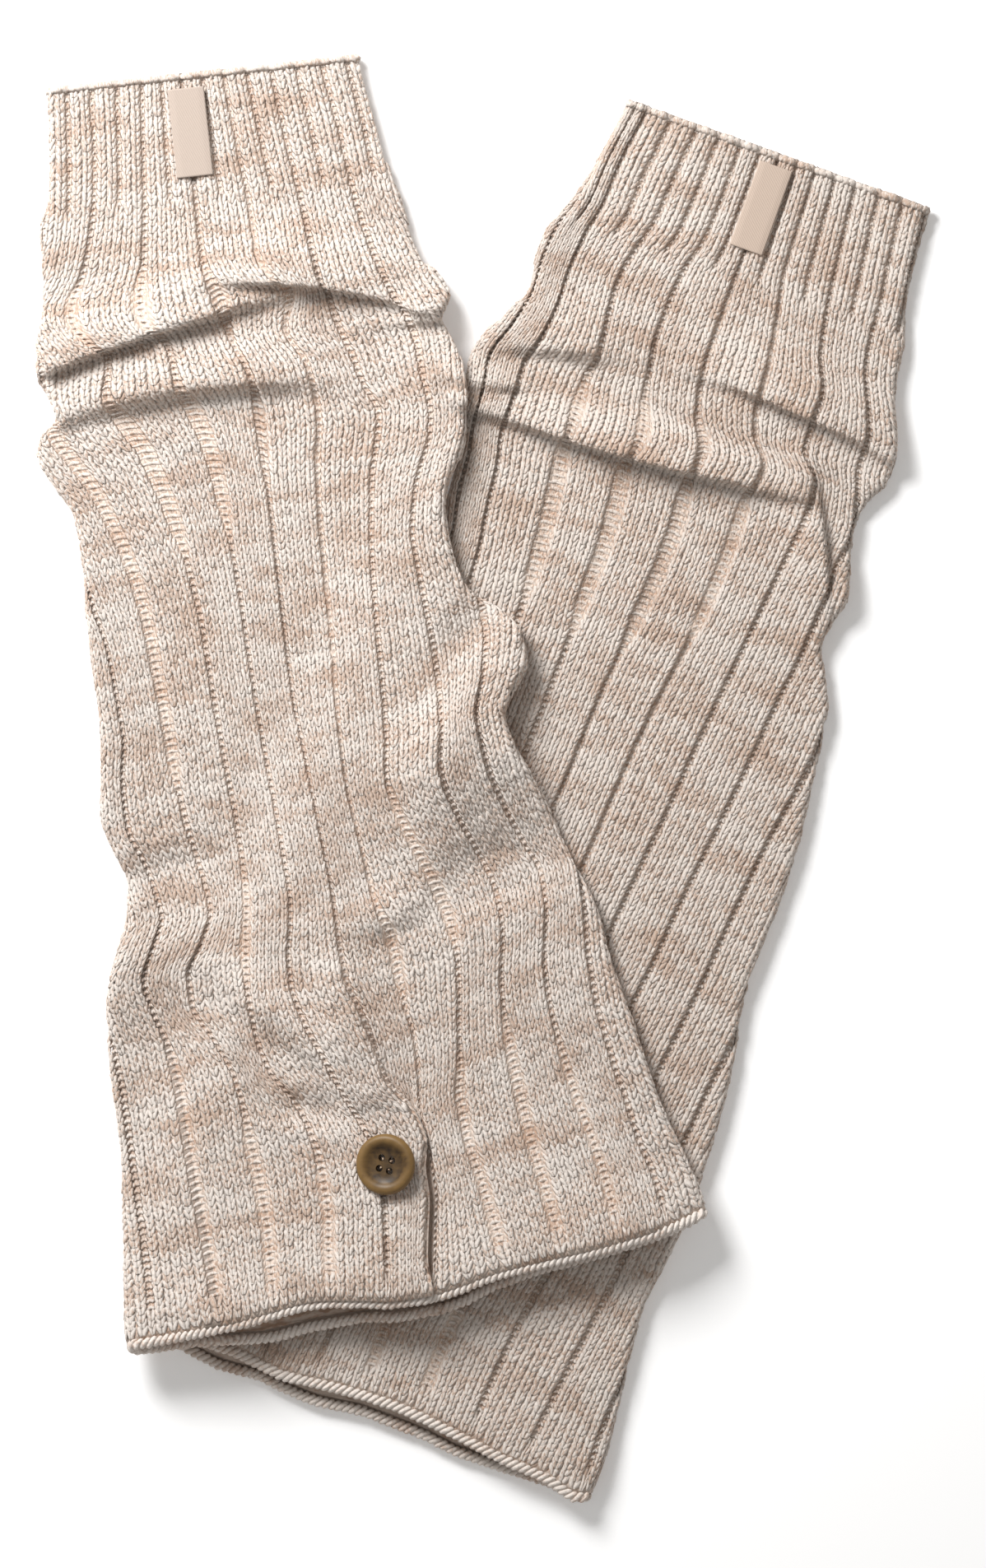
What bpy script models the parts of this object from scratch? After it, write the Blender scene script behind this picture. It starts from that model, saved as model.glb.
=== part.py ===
"""A pair of ribbed knitted leg warmers, laid flat with the left one lying over the right one.

Units: the tables are in millimetres, and the meshes are in metres. +Z is up, +Y points to the cuffs.
Each leg warmer is a tube that lies flat: a top layer, a bottom layer and a round fold at each side.
It is lofted through sections across its length. A point of it is named by its station (millimetres
along the leg from the cuff edge) and by its rib (ribs counted round the tube, left to right on top).
Across is measured from the middle line of the leg, to the right when the cuff is at the top.
"""

import math

import bmesh
import bpy
import numpy as np
from mathutils import Vector

MM = 0.001

# Cloth
WALL = 2.2  # one layer of knit, measured in a channel between two ribs
HOLLOW = 1.2  # room left inside the flattened tube
MOUTH_HOLLOW = 3.4  # the same at the hem, where the tube stands slightly open
MOUTH_REACH = 26.0  # the length over which it opens
SEAM_GAP = 0.35  # room between two pieces
RIM_SLOPE = 2.5  # how much sooner the inside ends than the outside
INNER_SHARES = (0.0, 0.03, 0.12, 0.21, 0.29, 0.38, 0.47, 0.5, 0.53, 0.62, 0.71, 0.79, 0.88, 0.97)

# Ribs
BODY_RIB_RISE = 1.3  # how far a wide rib stands above its channel
CUFF_RIB_RISE = 1.0
RIBS_ROUND_BODY = 20
RIBS_ROUND_CUFF = 28
RIBS_SHOWN = tuple(range(-1, 10))  # these ribs lie on top somewhere along the leg
RIBS_PER_WIDE_RIB = 2  # narrow cuff ribs that run into one wide rib
RIB_SHOULDER = 0.16  # half of a channel, as a share of one rib
RIB_ROUNDING = 0.25  # how much lower its shoulder is than its middle
LEAST_RIB = 5.0  # the middle of a rib that is narrower than this stands up less

# Rows of points along each piece
CUFF_ROWS = (0.0, 1.2, 8.0, 17.0, 27.0)
CUFF_EDGE_INSET = 0.7  # the cuff's edge is rounded off by this much
FOLDED_UNTIL = 150.0
CLOSE_ROWS = 27
OPEN_ROWS = 23

# Rolled edge at the hem
HEM_ROLL_RADIUS = 1.8
HEM_ROLL_SIDES = 6
HEM_ROLL_GAP = 1.1  # room between the end of the tube and its rolled edge
HEM_ROLL_POINTS = 88
HEM_END_CROWD = -0.75  # brings the points closer together at the two side folds
HEM_REACH = 45.0  # how far up the leg the hem's own line is felt
HEM_SETTLED = 8.0  # and how far up it is followed exactly

# Folds
FOLD_CORE = 0.8  # share of a fold's height that is layered cloth, not hollow
INNER_LIFT_MOST = 2.0
FOLD_FADE = 0.4  # share of a fold's length over which it grows to its height
FOLD_END_REACH = 12.0
REACH_OF_LIFT = 34.0  # how far from the lower leg warmer the upper one comes down to the ground
EARLY_LIFT = 4.0  # how far from it the upper one already has its full height

# The front opening above the hem of the left leg warmer, closed by its button
FLAP_RIBS = (2.0, 3.0)
FLAP_THICK = 2.0
FLAP_GAP = 0.5
FLAP_TOP = 345.0
PINCH_TOP = 318.0
STEP_HEIGHT = FLAP_THICK + FLAP_GAP  # the panel stands this much higher beside its flap
STEP_REACH = 46.0
STEP_EDGE = 0.5
BUTTON_DIAMETER = 20.0
BUTTON_THICK = 3.6
BUTTON_BOWL = 13.0
BUTTON_HOLE = 1.9
BUTTON_HOLE_SPREAD = 3.9  # from one hole to the next
BUTTON_AT = (-3.2, 363.3)
BUTTON_LEAN = math.radians(9.0)
BUTTON_TURN = math.radians(12.0)

# Woven labels sewn on the cuffs, left plain
LABEL_THICK = 0.8
LABEL_COLUMNS = ("across", "along", "wide", "long", "turn")
LEFT_LABEL = (-12.5, 3.8, 12.0, 29.2, 3.9)
RIGHT_LABEL = (-5.0, 3.6, 11.3, 29.3, 2.9)

# Sections: station along the leg, the left and right side of the tube, and how much further along
# the right end of the section lies than its left end.
SECTION_COLUMNS = ("along", "left", "right", "slant")

LEFT_SECTIONS = (
    (0, -51.3, 50, 7),
    (13, -53, 51, 7),
    (27, -55.4, 52.5, 7),
    (36, -57.5, 53.4, 7),
    (42, -60.3, 54.6, 7),
    (50, -62.2, 56.3, 7),
    (62, -63, 57.5, 7),
    (70, -64.5, 59.2, 7),
    (76, -66.9, 64.8, 6),
    (84, -70.3, 66.5, 4),
    (92, -70.5, 62.4, 3),
    (99, -68, 64, 2),
    (104, -67.5, 65.5, 1.5),
    (109, -73, 66.5, 1),
    (116, -75, 66.5, 0),
    (127, -70.5, 64.5, 0),
    (137, -66.5, 62, 0),
    (146, -66.7, 55.8, 0),
    (157, -67.3, 52.2, 0),
    (172, -68.5, 52.8, 0),
    (183, -69.2, 55.5, 0),
    (191, -69.5, 64.5, 0),
    (200, -69.8, 70, 0),
    (209, -70.9, 70.5, 0),
    (218, -72.2, 64.5, 0),
    (227, -73.8, 59.7, 0),
    (236, -75.3, 61.5, 0),
    (247, -73.1, 65.3, 0),
    (257, -70.5, 68.3, -1),
    (268, -72.8, 71, -2),
    (280, -78.8, 74.5, -3),
    (296, -84.8, 78.5, -4),
    (312, -86.8, 80, -5),
    (336, -87.9, 83.8, -7),
    (360, -90.8, 87.3, -8),
    (385, -95, 93.5, -10),
    (405, -98, 97.8, -11),
)

RIGHT_SECTIONS = (
    (0, -51.5, 52.6, 5),
    (12, -53.8, 52.8, 5),
    (25, -56.5, 53.5, 5),
    (35, -59, 54.8, 5),
    (41, -61.5, 56.3, 5),
    (48, -64.7, 57.5, 5),
    (56, -65.5, 58.2, 4),
    (67, -64.3, 60.7, 3),
    (76, -68.9, 64, 2),
    (85, -74.3, 65.8, 1),
    (93, -76.5, 65.3, 0),
    (100, -76.5, 61.3, 0),
    (107, -74.5, 59.5, 0),
    (117, -72, 60.3, 0),
    (128, -70.5, 63, 0),
    (134, -70, 64, 0),
    (141, -70, 62, 0),
    (149, -70, 60, 1),
    (158, -70, 64, 2),
    (170, -70.5, 69, 3),
    (190, -71, 70.5, 4),
    (215, -72.5, 72.2, 6),
    (240, -74, 71.3, 8),
    (262, -75, 69.8, 9),
    (280, -75.5, 72.2, 9),
    (305, -76.5, 73.8, 10),
    (330, -77.5, 73.7, 11),
    (352, -78, 71.5, 11),
    (372, -78.5, 67.9, 12),
    (395, -79, 69.2, 12),
    (415, -79.5, 70.2, 12),
    (433, -80, 70.5, 12),
)

# Ribs: how far across the channel on the left of each numbered rib lies. A place beyond a side has
# gone round it, to the layer below. Beside the flap, rib 3 is gathered to almost nothing, because
# the flap hides it.
LEFT_RIB_COLUMNS = ("along", -1, 0, 1, 2, 3, 4, 5, 6, 7, 8)

LEFT_RIBS = (
    (0, -69, -53, -37, -20, -7.5, 6.5, 22, 39, 55, 71),
    (25, -73, -57, -40, -24, -8.7, 7, 23.2, 41, 57, 73),
    (45, -78, -61, -44.5, -27, -9.7, 7.5, 24.5, 42, 58, 75),
    (60, -83, -66, -50, -30, -10.5, 7.5, 25.3, 44, 62, 80),
    (75, -90, -74, -57, -34, -7.5, 16, 27, 48, 66, 84),
    (88, -88, -70, -47, -27, -6, 12, 29, 52, 70, 88),
    (100, -88, -71, -49.5, -25.5, -2, 17, 32, 54, 71, 88),
    (110, -86, -69, -45, -22, -1.5, 18, 34, 54, 70, 87),
    (120, -82, -64, -40, -19.5, -2, 17.5, 37.5, 54.5, 69, 85),
    (130, -76, -59, -37.5, -18.5, -2.5, 15, 35, 53, 67, 82),
    (140, -72, -56, -35.5, -18, -3, 13.5, 31.8, 48, 63, 79),
    (150, -70, -53, -34, -18, -3.5, 12.3, 29.8, 44, 59, 75),
    (165, -67, -50.5, -32.7, -18, -4.5, 11, 27.3, 41, 57, 74),
    (180, -64.5, -49.7, -32, -18.3, -5.5, 10, 25.5, 41.2, 59, 78),
    (195, -64, -49.5, -32.3, -18.8, -6.3, 9, 24.1, 41.5, 59.5, 80),
    (210, -64, -49.3, -32.5, -19, -6.8, 7.3, 22.8, 41.3, 56.5, 76),
    (225, -67, -49.3, -32.5, -19, -6.2, 6.1, 21.3, 40, 51, 69),
    (240, -68, -48.7, -32.2, -18.8, -5.8, 5.5, 19, 37, 52, 70),
    (255, -64, -47, -32.5, -18.8, -5.5, 6.5, 21.8, 39.7, 55.2, 72),
    (270, -62, -45.5, -33.5, -19, -5.2, 7.2, 26.5, 44.5, 60, 73.5),
    (280, -67, -50, -35.5, -20.5, -5.5, 8.3, 29.5, 47.3, 63.5, 75.5),
    (290, -71.5, -56.7, -37, -23, -5.7, 10.8, 31.3, 48.1, 63.2, 75.3),
    (300, -70, -57.3, -38, -23.9, -5.8, 11.4, 31.7, 47, 61.2, 74.6),
    (312, -67, -52, -38.3, -21.8, -3, 11.5, 30.3, 44.3, 59, 73.6),
    (325, -66, -47.3, -36.2, -17.4, -0.3, 12.8, 27.9, 43.3, 58.7, 73.6),
    (337, -66, -46.1, -29.4, -13.5, 1.5, 12.2, 26, 43.4, 59.7, 74.5),
    (348, -66.1, -45.9, -25.9, -9.4, 10, 10.3, 24, 43.9, 60.9, 75.8),
    (360, -66, -45.2, -24.4, -6, 10.7, 11, 24, 44.5, 62.8, 77.5),
    (372, -65.6, -45.2, -24.6, -6, 10.8, 11.1, 25.9, 45.5, 65.2, 79),
    (385, -65.5, -46.2, -26.7, -7.8, 7.9, 8.3, 28, 47.1, 67, 82),
    (405, -65.7, -47.5, -29, -10.8, 2.8, 3.2, 31, 48.5, 68, 84),
)

RIGHT_RIB_COLUMNS = ("along", 0, 1, 2, 3, 4, 5, 6, 7, 8, 9)

RIGHT_RIBS = (
    (0, -45.5, -27.5, -12.3, 0.7, 13.3, 27.3, 44, 60, 76, 92),
    (21, -49.2, -30.4, -13.3, -0.3, 13.3, 28.8, 45.4, 61, 77, 93),
    (35, -50.5, -32.2, -14.8, -1, 13.4, 29.8, 46.8, 62, 78, 94),
    (45, -53, -35.5, -18, -1.5, 14.8, 30.9, 47, 63, 79, 95),
    (58, -54.7, -38, -19.7, -2, 16.8, 33, 48.5, 65, 82, 99),
    (70, -55, -37.5, -20.5, -2.5, 18, 37.5, 53, 70, 87, 104),
    (80, -57, -37, -19.5, -2, 18, 37, 56, 74, 91, 108),
    (90, -60, -38.5, -18, 0, 20, 37, 56, 73, 90, 107),
    (100, -60, -38.5, -15.5, 5, 26, 43, 58, 75, 92, 108),
    (112, -60.5, -39, -18, 3.3, 23, 43.5, 60, 76, 92, 108),
    (125, -58.5, -38, -17.3, 4, 23, 42, 58, 75, 91, 107),
    (140, -57.5, -37, -17, 3, 22, 39.5, 57, 74, 90, 106),
    (155, -56.2, -36.7, -18, 1, 20.2, 37.3, 55.7, 73, 90, 106),
    (170, -56, -37, -18.7, -1.3, 17.5, 35, 53, 71, 88, 105),
    (190, -57, -38.5, -20, -4, 13.8, 32, 50.2, 68.5, 86, 103),
    (215, -60, -41, -22, -6.3, 10.2, 28.8, 46.2, 63.2, 80, 97),
    (240, -64, -45, -27, -9.5, 7.5, 25, 42, 59.3, 76.5, 94),
    (265, -68, -49, -31, -13.5, 3.5, 21, 38.5, 56, 73.5, 91),
    (295, -74, -55, -37, -19, -2, 14, 33, 51.2, 68.5, 86),
    (320, -79, -60, -42, -24, -6.5, 9.5, 28, 47, 64.8, 82),
    (350, -87, -68, -49, -30.5, -12, 4, 22, 40.5, 58.8, 76.5),
    (380, -94, -75, -56, -38, -20, -4, 14.5, 33, 54.5, 72),
    (405, -101, -82, -63, -44, -26, -10.5, 9.3, 28.9, 49.7, 68),
    (434, -106, -86, -67, -48, -30, -12, 7.5, 25.5, 44, 66.5),
)

# Hem: how far along the front layer and the back layer end, with their rolled edge.
HEM_COLUMNS = ("across", "front", "back")

LEFT_HEM = (
    (-98, 409, 410.5),
    (-90, 409, 411.5),
    (-75, 408.6, 412),
    (-60, 408, 414),
    (-50, 407, 415),
    (-36, 405.8, 414),
    (-20, 408, 414),
    (-8, 410.2, 415.8),
    (4, 410.6, 415.8),
    (12, 409.7, 414.8),
    (25, 407.3, 411),
    (40, 406.2, 408.5),
    (58, 405.3, 407),
    (75, 403.5, 405),
    (90, 401, 402),
    (98, 398.5, 399),
)

RIGHT_HEM = (
    (-80, 431, 431.5),
    (-70, 430, 434.5),
    (-58, 430, 436.5),
    (-45, 432, 436),
    (-38, 433, 437.3),
    (-25, 432, 438.6),
    (-10, 431.5, 437.4),
    (0, 431.8, 438),
    (10, 433, 438.7),
    (25, 435.5, 441),
    (40, 438.4, 441.4),
    (55, 440.3, 441.5),
    (65, 443.2, 443.5),
    (70.5, 441, 441.2),
)

# Folds: where the crest starts and ends, how far its middle bows towards the hem, its height, the
# reach of its two slopes (the second one lies to the right of someone walking backwards along it,
# which is towards the hem for a fold that runs left to right), how far the crest laps over that
# second slope, and how blunt its two ends are.
FOLD_COLUMNS = (
    "name", "across0", "along0", "across1", "along1", "bow",
    "height", "up", "down", "lap", "blunt0", "blunt1",
)

LEFT_FOLDS = (
    ("left roll", -76, 87.5, 18, 75.5, -3, 11, 22, 5, 3, 0.9, 0.3),
    ("right roll", -14, 67, 56, 87, -5, 9, 24, 5, 3, 0.3, 0.8),
    ("second crest", -78, 105, 18, 107, -7, 8, 17, 12, 1, 0.9, 0.1),
    ("right tuck", 46, 91, 72, 93, 0, 5, 12, 4, 1, 0.4, 0.9),
    ("side ridge", 64, 128, 50, 168, 3, 3, 9, 6, 0, 0.3, 0.3),
    ("elbow swell", 74, 200, 30, 240, 2, 4.5, 14, 14, 0, 0.8, 0.1),
    ("left notch ridge", -86, 288, -36, 275, 1, 4, 12, 10, 0, 0.8, 0.3),
    ("button ridge", -48, 291, -6, 338, -1, 5, 16, 9, 0, 0.3, 0.3),
    ("centre dent ridge", -2, 271, 40, 272, 9, 4, 18, 7, 0, 0.2, 0.3),
)

RIGHT_FOLDS = (
    ("main roll", -72, 107.5, 36, 104.5, 0.5, 11, 15, 5, 3, 0.5, 0.5),
    ("left notch", -80, 101, -52, 94.5, 0, 5, 12, 5, 1, 0.7, 0.3),
    ("upper bulge", -70, 86, -26, 77.5, -2, 6, 22, 7, 1, 0.8, 0.3),
    ("cross lap", -6, 76, 64, 83.5, -3.5, 8, 22, 5, 3, 0.3, 0.6),
    ("side lap", 60, 146, 40, 97, 1, 5, 14, 4, 1.5, 0.3, 0.4),
    ("right lobe", 58, 116, 66, 142, 0, 3.5, 7, 7, 0, 0.4, 0.4),
)


def column(table, columns, name):
    return np.array([row[columns.index(name)] for row in table], float)


def ease(value):
    """A smooth step from 0 to 1."""
    value = np.clip(value, 0.0, 1.0)
    return value * value * (3.0 - 2.0 * value)


def smooth_curve(knots, values, at):
    """A curve through the knots that never swings past them (Fritsch and Carlson)."""
    knots = np.asarray(knots, float)
    values = np.asarray(values, float)
    steps = np.diff(knots)
    slopes = np.diff(values) / steps
    tangents = np.zeros(len(knots))
    inner = slopes[:-1] * slopes[1:] > 0
    weight_before = 2 * steps[1:] + steps[:-1]
    weight_after = steps[1:] + 2 * steps[:-1]
    safe_before = np.where(inner, slopes[:-1], 1.0)
    safe_after = np.where(inner, slopes[1:], 1.0)
    harmonic = (weight_before + weight_after) / (weight_before / safe_before + weight_after / safe_after)
    tangents[1:-1] = np.where(inner, harmonic, 0.0)
    tangents[0] = slopes[0]
    tangents[-1] = slopes[-1]
    at = np.clip(at, knots[0], knots[-1])
    place = np.clip(np.searchsorted(knots, at) - 1, 0, len(steps) - 1)
    width = steps[place]
    share = (at - knots[place]) / width
    square = share * share
    cube = square * share
    return (
        (2 * cube - 3 * square + 1) * values[place]
        + (cube - 2 * square + share) * width * tangents[place]
        + (3 * square - 2 * cube) * values[place + 1]
        + (cube - square) * width * tangents[place + 1]
    )


class Leg:
    """One leg warmer: its tables, and where it lies."""

    def __init__(self, name, cuff_at, turn, seam, sections, ribs, rib_columns, hem, folds, opening):
        self.name = name
        self.cuff_at = np.array(cuff_at, float)
        self.along_axis = np.array([math.sin(turn), -math.cos(turn)])
        self.across_axis = np.array([math.cos(turn), math.sin(turn)])
        self.seam = seam
        self.sections = sections
        self.ribs = ribs
        self.rib_columns = rib_columns
        self.hem = hem
        self.folds = folds
        self.has_opening = opening
        self.start = float(sections[0][0])
        self.length = float(sections[-1][0])
        self.lies_over = None

    def at(self, name, along):
        """Left, right or slant of the section at this station."""
        knots = column(self.sections, SECTION_COLUMNS, "along")
        return smooth_curve(knots, column(self.sections, SECTION_COLUMNS, name), along)

    def rib_at(self, number, along):
        """How far across a numbered rib starts."""
        knots = column(self.ribs, self.rib_columns, "along")
        return float(smooth_curve(knots, column(self.ribs, self.rib_columns, number), along))

    def hem_at(self, name, across):
        knots = column(self.hem, HEM_COLUMNS, "across")
        return smooth_curve(knots, column(self.hem, HEM_COLUMNS, name), across)

    def thickness(self, along):
        """Height of the flattened tube, in a channel between ribs."""
        open_mouth = ease((along - self.length + MOUTH_REACH) / (MOUTH_REACH - 4.0))
        return 2 * WALL + HOLLOW + (MOUTH_HOLLOW - HOLLOW) * open_mouth

    def local(self, x, y):
        """(across, along) of a point of the ground."""
        dx = x - self.cuff_at[0]
        dy = y - self.cuff_at[1]
        across = dx * self.across_axis[0] + dy * self.across_axis[1]
        along = dx * self.along_axis[0] + dy * self.along_axis[1]
        return across, along

    def ground(self, across, along):
        x = self.cuff_at[0] + across * self.across_axis[0] + along * self.along_axis[0]
        y = self.cuff_at[1] + across * self.across_axis[1] + along * self.along_axis[1]
        return x, y

    def lift_under(self, x, y):
        """How far the leg warmer below lifts this one off the ground."""
        if self.lies_over is None:
            return np.zeros_like(x)
        below = self.lies_over
        across, along = below.local(x, y)
        width = below.at("right", along) - below.at("left", along)
        station = along - below.at("slant", along) * across / width
        inside = across - below.at("left", station)
        folds, _, _ = fold_shift(below, across, along)
        height = below.thickness(station + 3.0) + BODY_RIB_RISE + SEAM_GAP + folds
        return height * ease((inside + REACH_OF_LIFT) / (REACH_OF_LIFT - EARLY_LIFT))


LEFT = Leg(
    "left", (-91.58, 232.48), math.radians(10.1), 41.0,
    LEFT_SECTIONS, LEFT_RIBS, LEFT_RIB_COLUMNS, LEFT_HEM, LEFT_FOLDS, True,
)
RIGHT = Leg(
    "right", (97.42, 205.48), math.radians(-17.0), 42.0,
    RIGHT_SECTIONS, RIGHT_RIBS, RIGHT_RIB_COLUMNS, RIGHT_HEM, RIGHT_FOLDS, False,
)
LEFT.lies_over = RIGHT


def fold_shift(leg, across, along):
    """Height and sideways laps that the folds add to the top layer at these points."""
    lift = np.zeros_like(across)
    shift_across = np.zeros_like(across)
    shift_along = np.zeros_like(across)
    for row in leg.folds:
        fold = dict(zip(FOLD_COLUMNS, row))
        chord_across = fold["across1"] - fold["across0"]
        chord_along = fold["along1"] - fold["along0"]
        length = math.hypot(chord_across, chord_along)
        unit_across = chord_across / length
        unit_along = chord_along / length
        from_across = across - fold["across0"]
        from_along = along - fold["along0"]
        share = (from_across * unit_across + from_along * unit_along) / length
        bow = fold["bow"] * 4.0 * np.clip(share, 0, 1) * (1.0 - np.clip(share, 0, 1))
        past = from_along * unit_across - from_across * unit_along - bow
        start = fold["blunt0"] + (1.0 - fold["blunt0"]) * ease(share / FOLD_FADE)
        start = start * ease(1.0 + share * length / FOLD_END_REACH)
        end = fold["blunt1"] + (1.0 - fold["blunt1"]) * ease((1.0 - share) / FOLD_FADE)
        end = end * ease(1.0 + (1.0 - share) * length / FOLD_END_REACH)
        crest = np.where(past < 0, ease(1.0 + past / fold["up"]), ease(1.0 - past / fold["down"]))
        crest = crest * start * end
        lift = lift + fold["height"] * crest
        shift_across = shift_across - unit_along * fold["lap"] * crest**2
        shift_along = shift_along + unit_across * fold["lap"] * crest**2
    return lift, shift_across, shift_along


def section(leg, along, arcs, inset):
    """Points of the flattened tube at these arc lengths: across, height, and the way out.

    Arc length starts at the left side and runs over the top to the right side, then back below.
    """
    half = leg.thickness(along) / 2 - inset
    left = float(leg.at("left", along)) + inset
    right = float(leg.at("right", along)) - inset
    quarter = math.pi * half / 2
    flat = right - left - 2 * half
    layer = flat + 2 * quarter
    arcs = np.asarray(arcs, float) % (2 * layer)
    on_top = arcs < layer
    arc = np.where(on_top, arcs, 2 * layer - arcs)
    angle = np.where(
        arc < quarter,
        math.pi - arc / half,
        np.where(arc > quarter + flat, math.pi / 2 - (arc - quarter - flat) / half, math.pi / 2),
    )
    across = np.where(
        arc < quarter,
        left + half,
        np.where(arc > quarter + flat, right - half, left + half + arc - quarter),
    )
    side = np.where(on_top, 1.0, -1.0)
    out_across = np.cos(angle)
    out_up = np.sin(angle) * side
    return across + half * out_across, inset + half + half * out_up, out_across, out_up


def layer_length(leg, along, inset):
    """Arc length of one layer of the flattened tube, from side to side."""
    half = leg.thickness(along) / 2 - inset
    width = float(leg.at("right", along)) - float(leg.at("left", along)) - 2 * inset
    return width - 2 * half + math.pi * half


def arcs_of_ribs(leg, along, ribs, ribs_round):
    """Arc lengths round the tube at which these ribs lie."""
    half = leg.thickness(along) / 2
    left = float(leg.at("left", along))
    numbers = list(leg.rib_columns[1:])
    arcs = [leg.rib_at(number, along) - left + math.pi * half / 2 - half for number in numbers]
    first = numbers[0]
    numbers.append(first + ribs_round)
    arcs.append(arcs[0] + 2 * layer_length(leg, along, 0.0))
    wrapped = first + (np.asarray(ribs, float) - first) % ribs_round
    return np.interp(wrapped, numbers, arcs)


def rib_crown(ribs, per_wide_rib):
    """0 in a channel, 1 on top of a rib."""
    place = np.asarray(ribs, float) * per_wide_rib
    from_channel = np.abs(place - np.round(place))
    return ease(from_channel / RIB_SHOULDER) * (1.0 - RIB_ROUNDING * (1.0 - ease(2.0 * from_channel)))


def rib_room(leg, station, ribs, ribs_round, per_wide_rib):
    """1 on a rib of normal width, and less on one that is gathered to almost nothing."""
    place = (np.floor(np.asarray(ribs, float) * per_wide_rib) + 0.5) / per_wide_rib
    before = arcs_of_ribs(leg, station, place - 0.3 / per_wide_rib, ribs_round)
    after = arcs_of_ribs(leg, station, place + 0.3 / per_wide_rib, ribs_round)
    return np.clip((after - before) / (LEAST_RIB / per_wide_rib), 0.0, 1.0)


def hem_pull(leg, station, across, topness):
    """How much further along the hem's own line lies than its straight section."""
    near = float(ease((station - leg.length + HEM_REACH) / (HEM_REACH - HEM_SETTLED)))
    if near == 0.0:
        return np.zeros_like(across)
    width = float(leg.at("right", station)) - float(leg.at("left", station))
    straight = leg.length + float(leg.at("slant", station)) * across / width
    front = leg.hem_at("front", across) - straight
    back = leg.hem_at("back", across) - straight
    frontness = ease((topness - 0.15) / 0.7)
    return near * (front * frontness + back * (1.0 - frontness))


def laid(leg, station, across, height, core):
    """Points in garment millimetres: folded, slanted, and lying on what is below."""
    thick = leg.thickness(station)
    topness = np.clip(height / thick, 0.0, 1.0)
    width = float(leg.at("right", station)) - float(leg.at("left", station))
    along = station + float(leg.at("slant", station)) * across / width
    lift, shift_across, shift_along = fold_shift(leg, across, along)
    lift = lift + flap_step(leg, station, across)
    along = along + hem_pull(leg, station, across, topness)
    if core:
        lift = np.minimum((1.0 - FOLD_CORE) * lift, INNER_LIFT_MOST)
    else:
        across = across + shift_across * topness
        along = along + shift_along * topness
    x, y = leg.ground(across, along)
    z = height + lift * topness + leg.lift_under(x, y)
    return np.stack([x, y, z], axis=-1)


def flap_line(leg, station, rib):
    """How far across a rib lies on the top layer."""
    arc = arcs_of_ribs(leg, station, [rib], RIBS_ROUND_BODY)
    return float(section(leg, station, arc, 0.0)[0][0])


def flap_step(leg, station, across):
    """The front panel stands higher beside its flap, because it lies over the other panel."""
    if not leg.has_opening or station < PINCH_TOP:
        return np.zeros_like(across)
    edge = flap_line(leg, station, FLAP_RIBS[0])
    grown = float(ease((station - PINCH_TOP) / (FLAP_TOP - PINCH_TOP)))
    slope = ease((across - edge + STEP_REACH) / STEP_REACH)
    return STEP_HEIGHT * grown * slope * (across < edge - STEP_EDGE)


def outer_ring(leg, station, ribs, ribs_round, per_wide_rib, rise, inset=0.0):
    """The ribbed outside of the tube at one station."""
    arcs = arcs_of_ribs(leg, station, ribs, ribs_round)
    across, height, out_across, out_up = section(leg, station, arcs, 0.0)
    near_end = min(1.0, (leg.length - station) / 8.0) if station > leg.seam else 1.0
    crown = rib_crown(ribs, per_wide_rib) * rib_room(leg, station, ribs, ribs_round, per_wide_rib)
    lift = rise * near_end * crown * ease((out_up + 0.6) / 0.9) - inset
    return laid(leg, station, across + lift * out_across, height + lift * out_up, False)


def inner_ring(leg, station, shares):
    """The plain inside: the shares run once round the tube."""
    arcs = np.asarray(shares) * 2 * layer_length(leg, station, WALL)
    across, height, _, _ = section(leg, station, arcs, WALL)
    return laid(leg, station, across, height, True)


def add_rings(mesh, rings):
    """Adds closed rings of points and the walls between them. Returns the rings' vertices."""
    made = [[mesh.verts.new(point * MM) for point in ring] for ring in rings]
    for ring, following in zip(made, made[1:]):
        for j in range(len(ring)):
            k = (j + 1) % len(ring)
            mesh.faces.new((ring[j], ring[k], following[k], following[j]))
    return made


def bridge(mesh, ring, shares, other, other_shares):
    """Closes the gap between two rings that have different numbers of points."""
    i = 0
    j = 0
    while i < len(ring) or j < len(other):
        next_i = shares[i + 1] if i + 1 < len(ring) else shares[0] + 1.0
        next_j = other_shares[j + 1] if j + 1 < len(other) else other_shares[0] + 1.0
        a = ring[i % len(ring)]
        b = other[j % len(other)]
        step_i = j >= len(other) or (i < len(ring) and next_i <= next_j)
        if step_i:
            mesh.faces.new((a, ring[(i + 1) % len(ring)], b))
            i += 1
        else:
            mesh.faces.new((a, other[(j + 1) % len(other)], b))
            j += 1


def new_object(name, mesh, material, collection):
    bmesh.ops.recalc_face_normals(mesh, faces=mesh.faces)
    data = bpy.data.meshes.new(name)
    mesh.to_mesh(data)
    mesh.free()
    data.materials.append(material)
    made = bpy.data.objects.new(name, data)
    collection.objects.link(made)
    return made


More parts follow.
